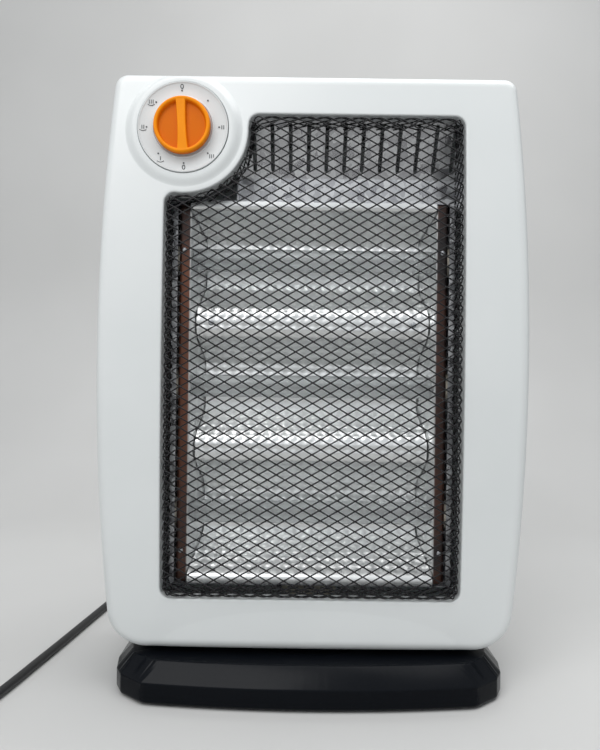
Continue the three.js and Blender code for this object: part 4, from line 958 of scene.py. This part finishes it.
def make_guard():
    """Strands over the bulging front, folded back round its edge, with a knot where two strands cross."""
    edge, patches = Edge(), Patchwork()
    for start, end, ahead in guard_strands(edge):
        left, left_back = folded(edge, start, -ahead)
        right, right_back = folded(edge, end, ahead)
        span = left[0] + (right[0] - left[0]) * np.linspace(0, 1, 12)[1:-1, None]
        flat = np.vstack([left[::-1], span, right])
        back = np.concatenate([left_back[::-1], np.zeros(10), right_back])
        y = front_y(flat[:, 0], np.clip(flat[:, 1], WINDOW_BOTTOM, WINDOW_TOP)) - GUARD_PROUD + back
        y = np.minimum(y, GUARD_BACK) + WEAVE * np.sign(ahead[1])
        patches.capped(swept(upright(flat, y), WIRE, 6, up=(0.01, 1, 0.02)))
    (_, first), (_, second) = strand_directions()
    a, b = np.meshgrid(strand_levels(edge, first), strand_levels(edge, second))
    knots = np.column_stack([a.ravel(), b.ravel()]) @ np.linalg.inv(np.array([first, second])).T
    clear = [3, 0]
    knots = knots[edge.holds(knots) & edge.holds(knots + clear) & edge.holds(knots - clear)]
    tilt, knot_size = np.radians([90, 40, -40, -90]), [1.25, 0.62, 0.72]
    ball = turned(np.column_stack([np.cos(tilt), np.sin(tilt)]), 6, "x") * knot_size
    centre = upright(knots, front_y(*knots.T) - GUARD_PROUD)
    patches.grids(ball[None] + centre[:, None, None])
    make_piece("guard_net", patches, FINISHES["guard_wire"], "housing",
               ["guard_mesh", "guard_border_left", "guard_border_right", "guard_border_top",
                "guard_border_bottom", "guard_border_dial"],
               sharp=70, turn_out=True)


# ---- Reflector and tubes --------------------------------------------------------------------------

def reflector_profile():
    """The sheet's path in y and height, top to bottom: two flanges, three troughs and two flat ridges."""
    pitch, middle = 97.0, 220.0
    ridge_half, ridge_y, trough_half, trough_y, rim_y = 8.3, -32.0, 20.0, -12.0, -45.0
    corners = [(rim_y, REFLECTOR_TOP), (rim_y, REFLECTOR_TOP - 5.5)]
    for step in (1, 0, -1):
        centre = middle + step * pitch
        corners += [(trough_y, centre + trough_half), (trough_y, centre - trough_half)]
        if step > -1:
            ridge = centre - pitch / 2
            corners += [(ridge_y, ridge + ridge_half), (ridge_y, ridge - ridge_half)]
    corners += [(rim_y, REFLECTOR_BOTTOM + 5.5), (rim_y, REFLECTOR_BOTTOM)]
    return np.array(corners, float)


def bent(corners, radius, spacing):
    """An open path with its corners rounded: cut back by radius at each and joined by a parabola."""
    parts = [corners[:1]]
    t = np.linspace(0, 1, 7)[:, None]
    for before, corner, after in zip(corners[:-2], corners[1:-1], corners[2:]):
        reach = min(radius, *(np.linalg.norm(v - corner) * 0.45 for v in (before, after)))
        a = corner + (before - corner) / np.linalg.norm(before - corner) * reach
        b = corner + (after - corner) / np.linalg.norm(after - corner) * reach
        parts.append((1 - t) ** 2 * a + 2 * t * (1 - t) * corner + t ** 2 * b)
    line = np.vstack([*parts, corners[-1:]])
    reach = np.concatenate([[0], np.cumsum(np.linalg.norm(np.diff(line, axis=0), axis=1))])
    at = np.linspace(0, reach[-1], int(reach[-1] / spacing) + 1)
    return np.column_stack([np.interp(at, reach, line[:, 0]), np.interp(at, reach, line[:, 1])]), at


END_FRONT, END_BACK, END_FLANGE_X = (92.4, -42.6), (84.6, -10.0), 101.0
EMBOSSING = 0.3


def honeycomb(across, along, pitch=7.0):
    """Embossed cells: the sum of three waves sixty degrees apart, clipped flat at its peaks and floors."""
    k, root3, flat_at = TURN / (pitch * math.sqrt(3) / 2), math.sqrt(3), 0.9
    waves = (np.cos(k * along) + np.cos(k * (across * root3 - along) / 2)
             + np.cos(k * (across * root3 + along) / 2))
    return np.clip(waves, -flat_at, flat_at)


def make_reflector():
    """The bent sheet with its embossed cells, as wide at each depth as the splayed ends leave it."""
    path, reach = bent(reflector_profile(), 5.0, 1.25)
    share = np.linspace(-1, 1, 131)
    slope = (END_FRONT[0] - END_BACK[0]) / (END_FRONT[1] - END_BACK[1])
    half = np.minimum(END_BACK[0] + slope * (path[:, :1] - END_BACK[1]), END_FRONT[0]) - 0.5
    x = share * half
    tangent = np.gradient(path, axis=0)
    normal = np.column_stack([tangent[:, 1], -tangent[:, 0]]) / np.linalg.norm(tangent, axis=1)[:, None]
    flat_rim = np.clip((np.minimum(reach, reach[-1] - reach) - 7) / 4, 0, 1)[:, None]
    lift = EMBOSSING * honeycomb(x, reach[:, None] + 0 * x) * flat_rim
    sheet = np.stack([x, path[:, :1] + normal[:, :1] * lift, path[:, 1:] + normal[:, 1:] * lift], -1)
    make_piece("reflector_troughs", Patchwork().grid(sheet), FINISHES["reflector_sheet"], "housing",
               ["reflector"], sharp=60, wall=0.5)


def make_reflector_end(side, sign):
    """A splayed end wall with embossed cells and a plain front flange, drawn along its height."""
    turned_back = (END_FLANGE_X, END_FRONT[1] + 3)
    corners = np.array([turned_back, (END_FLANGE_X, END_FRONT[1]), END_FRONT, END_BACK])
    line, reach = bent(corners, 1.4, 1.1)
    z = np.linspace(REFLECTOR_BOTTOM + 0.4, REFLECTOR_TOP - 0.4, 232)[:, None]
    tangent = np.gradient(line, axis=0)
    normal = np.column_stack([-tangent[:, 1], tangent[:, 0]]) / np.linalg.norm(tangent, axis=1)[:, None]
    wall = np.clip((reach - 14) / 3, 0, 1)
    lift = EMBOSSING * honeycomb(z + 0 * reach, reach + 0 * z) * wall
    x, y = line[:, 0] + normal[:, 0] * lift, line[:, 1] + normal[:, 1] * lift
    sheet = np.stack([sign * x, y, z + 0 * lift], -1)
    patches = Patchwork().grid(sheet, flip=sign > 0)
    make_piece(f"end_wall_{side}", patches, FINISHES["end_sheet"], "housing", [f"reflector_end_{side}"],
               sharp=60, wall=0.5)


def make_tube(place):
    """A satin quartz tube: outer wall, rounded end, inner bore, closed into one skin."""
    inner, half = TUBE_RADIUS - 1.3, TUBE_HALF
    profile = [(TUBE_RADIUS, 0), (TUBE_RADIUS, half - 0.6), (TUBE_RADIUS - 0.3, half - 0.1),
               (inner + 0.3, half), (inner, half - 0.4), (inner, 0)]
    profile += [(r, -x) for r, x in profile[::-1]]
    skin = turned(profile, 64, "x", (0, TUBE_Y, TUBE_HEIGHTS[place]))
    patches = Patchwork().grid(skin, close_columns=True, close_rows=True)
    make_piece(f"quartz_{place}", patches, FINISHES["satin_quartz"], "housing", [f"tube_{place}"],
               turn_out=True)


def make_filament(place):
    """The resistance wire: a section carried along the helix (x, r cos t, r sin t)."""
    windings, steps, radius, wire, end = 62, 9, 2.4, 0.4, TUBE_HALF - 5
    turns = np.linspace(0, TURN * windings, windings * steps + 1)
    x = np.linspace(-end, end, len(turns))
    path = np.column_stack([x, TUBE_Y + radius * np.cos(turns), TUBE_HEIGHTS[place] + radius * np.sin(turns)])
    patches = Patchwork().capped(swept(path, wire, 5, up=(1, 0.01, 0.02)))
    make_piece(f"heating_coil_{place}", patches, FINISHES["heater_wire"], "housing", [f"filament_{place}"],
               turn_out=True)


def dome_heads(places, radius, height, axis, lobed=0.0):
    """Small round heads, many at once: a low dome turned round an axis, with a cross in it if lobed."""
    angle = np.linspace(0, TURN, 24, endpoint=False)
    share = np.array([1, 1, 0.96, 0.85, 0.66, 0.45, 0.3, 0.12, 0])
    rise = np.array([0, 0.35, 0.55, 0.8, 0.95, 1, 1, 1, 1])[:, None] + 0 * angle
    cross = np.minimum(np.abs(np.cos(angle)), np.abs(np.sin(angle))) * share[:, None]
    rise = rise - lobed * (cross < 0.13) * (share[:, None] < 0.6)
    x, z = radius * share[:, None] * np.cos(angle), radius * share[:, None] * np.sin(angle)
    out = {"-y": -1, "+y": 1}[axis] * height * rise
    return np.stack([x, out, z], -1)[None] + np.asarray(places, float)[:, None, None]


def make_fasteners():
    """Rivets on the first ridge and on the end walls' flanges, and the screws of the back."""
    rivets = [(-78, -32.4, 268.5), (78, -32.4, 268.5)]
    flange = [(side * 97.4, END_FRONT[1] - 0.1, z) for side in (-1, 1) for z in (96, 322)]
    patches = Patchwork().grids(dome_heads(rivets, 2.2, 1.1, "-y"))
    patches.grids(dome_heads(flange, 1.9, 0.9, "-y"))
    make_piece("sheet_rivets", patches, FINISHES["plain_steel"], "housing", turn_out=True)
    back = [(side * 128, REAR_Y - 0.35, z) for side in (-1, 1) for z in (70, 238, 408)]
    patches = Patchwork().grids(dome_heads(back, 3.1, 1.2, "+y", 0.6))
    make_piece("cover_screws", patches, FINISHES["plain_steel"], "housing", turn_out=True)


# ---- Base -----------------------------------------------------------------------------------------

BASE_FRONT, BASE_BOW, BASE_CORNER_X = 89.0, 965.0, 115.5
BASE_FACET, BASE_ROUND, BASE_SIDE = (133.3, 69.6), (138.9, 60.0), (142.0, 45.0)
BASE_WALL_TOP, BASE_TOP, BASE_SLOPE = 16.0, 27.5, 11.0


def base_plan(corner_radius, round_radius):
    """The base seen from above, anticlockwise: bowed front and back, mitred and rounded corners."""
    x = np.linspace(-BASE_CORNER_X, BASE_CORNER_X, 15)
    bow = np.column_stack([x, -BASE_FRONT + x ** 2 / (2 * BASE_BOW)])
    side = np.array([BASE_FACET, BASE_ROUND, BASE_SIDE])
    right = np.vstack([side * [1, -1], side[::-1]])
    plan = np.vstack([bow, right, -bow, -right])
    radii = np.full(len(plan), 40.0)
    radii[[0, 14, 21, 35]] = corner_radius
    radii[[15, 20, 36, 41]] = round_radius
    radii[[16, 17, 18, 19, 37, 38, 39, 40]] = round_radius
    return resampled(rounded(plan, radii), 6)


def make_base():
    """Rows from the lower edge up the wall, over the sloping rim and its crisp mitres, to the post."""
    wall_plan, rim_plan = base_plan(14.0, 5.0), base_plan(0.7, 1.5)
    deck = offset(rim_plan, -BASE_SLOPE)
    angles = ray_angles((0, 0), wall_plan, rim_plan, deck)

    def level(outline, z):
        return np.column_stack([on_rays((0, 0), outline, angles), np.full(len(angles), z)])
    rows = [level(offset(wall_plan, -2.4), 2.0)]
    for turn in np.radians(np.linspace(0, 90, 5)):
        rows.append(level(offset(wall_plan, -1.4 * (1 - math.sin(turn))), 2.0 + 2.4 * (1 - math.cos(turn))))
    rows.append(level(wall_plan, 10.0))
    rows.append(level(wall_plan, BASE_WALL_TOP - 1.2))
    slope = np.array([-BASE_SLOPE, BASE_TOP - BASE_WALL_TOP])
    slope = slope / np.linalg.norm(slope)
    for share in np.linspace(0, 1, 5):
        away = 0.9 * (share ** 2) * slope + 0.9 * (1 - share) ** 2 * np.array([0, -1.0])
        rows.append(level(offset(rim_plan, away[0]), BASE_WALL_TOP + away[1]))
    for share in np.linspace(0, 1, 5):
        away = -0.9 * (1 - share) ** 2 * slope + 0.9 * share ** 2 * np.array([-1.0, 0])
        rows.append(level(offset(rim_plan, -BASE_SLOPE + away[0]), BASE_TOP + away[1]))
    inner = on_rays((0, 0), arc((0, 0), 17.4, 0, 354, 59), angles)
    edge = rows[-1][:, :2]
    for share in (0.3, 0.65, 1):
        rows.append(np.column_stack([edge + (inner - edge) * share, np.full(len(angles), BASE_TOP)]))
    patches = Patchwork().grid(np.stack(rows), close_columns=True)
    make_piece("base_cover", patches, FINISHES["black_gloss"], "base", ["base_shell"],
               sharp=40, wall=2.2)


RELIEF_AT = (-75.0, 10.8)


def make_strain_relief():
    """The tapered sleeve where the cord leaves: its profile turned, with grooves from a clipped wave."""
    y = np.linspace(91, 121.6, 124)
    radius = np.interp(y, [91, 96, 104, 114, 122], [5.9, 5.6, 5.2, 4.7, 4.4])
    groove = 0.75 * np.clip(np.sin((y - 92.2) / 3.1 * TURN) * 2.2, 0, 1) * (y > 92.2) * (y < 118)
    start = [(0, 80.8), (5, 80.8), (5, 82.3), (4.2, 82.3), (4.2, 87), (6.6, 87), (7, 87.4), (7, 89.1),
             (6.6, 89.5)]
    profile = [*start, *zip(radius - groove, y), (4.1, 122), (0, 122)]
    skin = turned(profile, 48, "y", (RELIEF_AT[0], 0, RELIEF_AT[1]))
    patches = Patchwork().grid(skin, close_columns=True)
    make_piece("cord_sleeve", patches, FINISHES["cord_rubber"], "base", ["strain_relief"],
               turn_out=True)


def make_plug(path, heading):
    """The moulded plug: a turned profile, less ring grooves on its sleeve and ribs on its grip's sides."""
    end = [46, 48, 50, 51.4, 52.3, 52.8, 53]
    z = np.concatenate([np.linspace(1.2, 21, 90), np.linspace(21.4, 44, 46), end])
    radius = np.interp(z, [1, 14, 20, 22, 24.5, 28, 32, 37, 44, 51, 52.3, 53],
                       [4.4, 5.2, 6.3, 8.6, 12.6, 16.0, 17.9, 18.5, 18.6, 18.6, 18.3, 17.5])
    radius = radius - 0.6 * np.clip(np.sin((z - 2) / 3 * TURN) * 2.2, 0, 1) * (z > 2) * (z < 18)
    angle = np.linspace(0, TURN, 72, endpoint=False)
    grip = np.clip((z - 24) / 8, 0, 1) * np.clip((48 - z) / 4, 0, 1)
    on_sides = np.abs(np.cos(angle)) > 0.72
    ridge = 0.35 * grip[:, None] * np.sin(z[:, None] * TURN / 2.6) * on_sides
    wide = radius[:, None] - 0.5 * grip[:, None] - ridge
    body = np.stack([wide * np.cos(angle), z[:, None] + 0 * angle, wide * np.sin(angle)], -1)
    ends = [np.zeros((1, 72, 3)) + (0, z[0], 0), np.zeros((1, 72, 3)) + (0, z[-1], 0)]
    points = np.concatenate([ends[0], body, ends[1]])
    side = np.cross(heading, (0, 0, 1))
    placed = points[..., :1] * side + points[..., 1:2] * heading + points[..., 2:] * [0, 0, 1] + path[-1]
    make_piece("mains_plug", Patchwork().grid(placed, close_columns=True), FINISHES["cord_rubber"], "base",
               ["plug"], turn_out=True)


# ---- Stage ----------------------------------------------------------------------------------------

def studio_paper():
    """Pale matt paper with the faintest cloud."""
    finish = Finish("studio_paper", (0.62, 0.62, 0.61), 0.9)
    cloud = finish.noise(3, 2)
    finish.feed("Base Color", finish.ramp(cloud, (0.3, (0.6, 0.6, 0.592)), (0.7, (0.64, 0.64, 0.632))))
    return finish.material


def make_stage():
    """A pale floor that curves up into a backdrop far behind."""
    near, far, bend, height = -9000.0, 900.0, 500.0, 6000.0
    quarter = np.radians(np.linspace(0, 90, 16))
    y = np.concatenate([[near, -400, 0, far - bend], far - bend + bend * np.sin(quarter)[1:], [far]])
    z = np.concatenate([np.zeros(4), bend * (1 - np.cos(quarter[1:])), [height]])
    x = np.linspace(-9000, 9000, 3)
    sheet = np.stack([np.stack([x, np.full(3, b), np.full(3, c)], -1) for b, c in zip(y, z)])
    patches = Patchwork().grid(sheet, flip=False)
    points = np.vstack(patches.points) * MM
    mesh = bpy.data.meshes.new("studio_floor")
    mesh.from_pydata(points.tolist(), [], np.vstack(patches.quads).tolist())
    mesh.shade_smooth()
    mesh.materials.append(studio_paper())
    floor = bpy.data.objects.new("studio_floor", mesh)
    bpy.context.scene.collection.objects.link(floor)


def make_light(name, place, aim, size, power, colour=(1, 1, 1)):
    """A square soft lamp at a place, in metres, turned towards a point."""
    data = bpy.data.lights.new(name, "AREA")
    data.shape, data.size, data.energy, data.color = "SQUARE", size, power, colour
    lamp = bpy.data.objects.new(name, data)
    place, aim = np.array(place, float), np.array(aim, float)
    back = (place - aim) / np.linalg.norm(place - aim)
    side = np.cross((0, 0, 1), back)
    side /= np.linalg.norm(side)
    rise = np.cross(back, side)
    matrix = np.eye(4)
    matrix[:3, 0], matrix[:3, 1], matrix[:3, 2], matrix[:3, 3] = side, rise, back, place
    lamp.matrix_world = Matrix(matrix.tolist())
    bpy.context.scene.collection.objects.link(lamp)


def light_scene():
    """A soft key from the upper front left, a broad lamp overhead and a pale surround, white in reflections."""
    world = bpy.data.worlds.new("surround")
    bpy.context.scene.world = world
    world.use_nodes = True
    tree = world.node_tree
    background = tree.nodes["Background"]
    background.inputs["Color"].default_value = (0.94, 0.97, 1.0, 1)
    paths = tree.nodes.new("ShaderNodeLightPath")
    seen = tree.nodes.new("ShaderNodeMath")
    seen.operation = "MAXIMUM"
    tree.links.new(paths.outputs["Is Glossy Ray"], seen.inputs[0])
    tree.links.new(paths.outputs["Is Transmission Ray"], seen.inputs[1])
    strength = tree.nodes.new("ShaderNodeMapRange")
    strength.inputs["To Min"].default_value, strength.inputs["To Max"].default_value = 0.4, 1.0
    tree.links.new(seen.outputs[0], strength.inputs["Value"])
    tree.links.new(strength.outputs["Result"], background.inputs["Strength"])
    make_light("key", (-0.45, -0.95, 1.25), (0, 0, 0.3), 0.9, 10.5)
    make_light("overhead", (0.3, -0.1, 1.5), (0, 0, 0.2), 1.2, 12)


# ---- The heater -----------------------------------------------------------------------------------

make_camera()
dress_solids()
cord, cord_path, plug_heading = make_cord(FINISHES["cord_rubber"])
make_front_panel()
make_dial_boss()
make_rear_cover()
make_dial_ring()
make_knob()
make_dial_marks()
make_guard()
make_reflector()
for side, sign in (("left", -1), ("right", 1)):
    make_reflector_end(side, sign)
for place in TUBE_HEIGHTS:
    make_tube(place)
    make_filament(place)
make_fasteners()
make_base()
make_strain_relief()
make_plug(cord_path, plug_heading)
make_stage()
light_scene()

settings = bpy.context.scene.view_settings
settings.view_transform = "Standard"
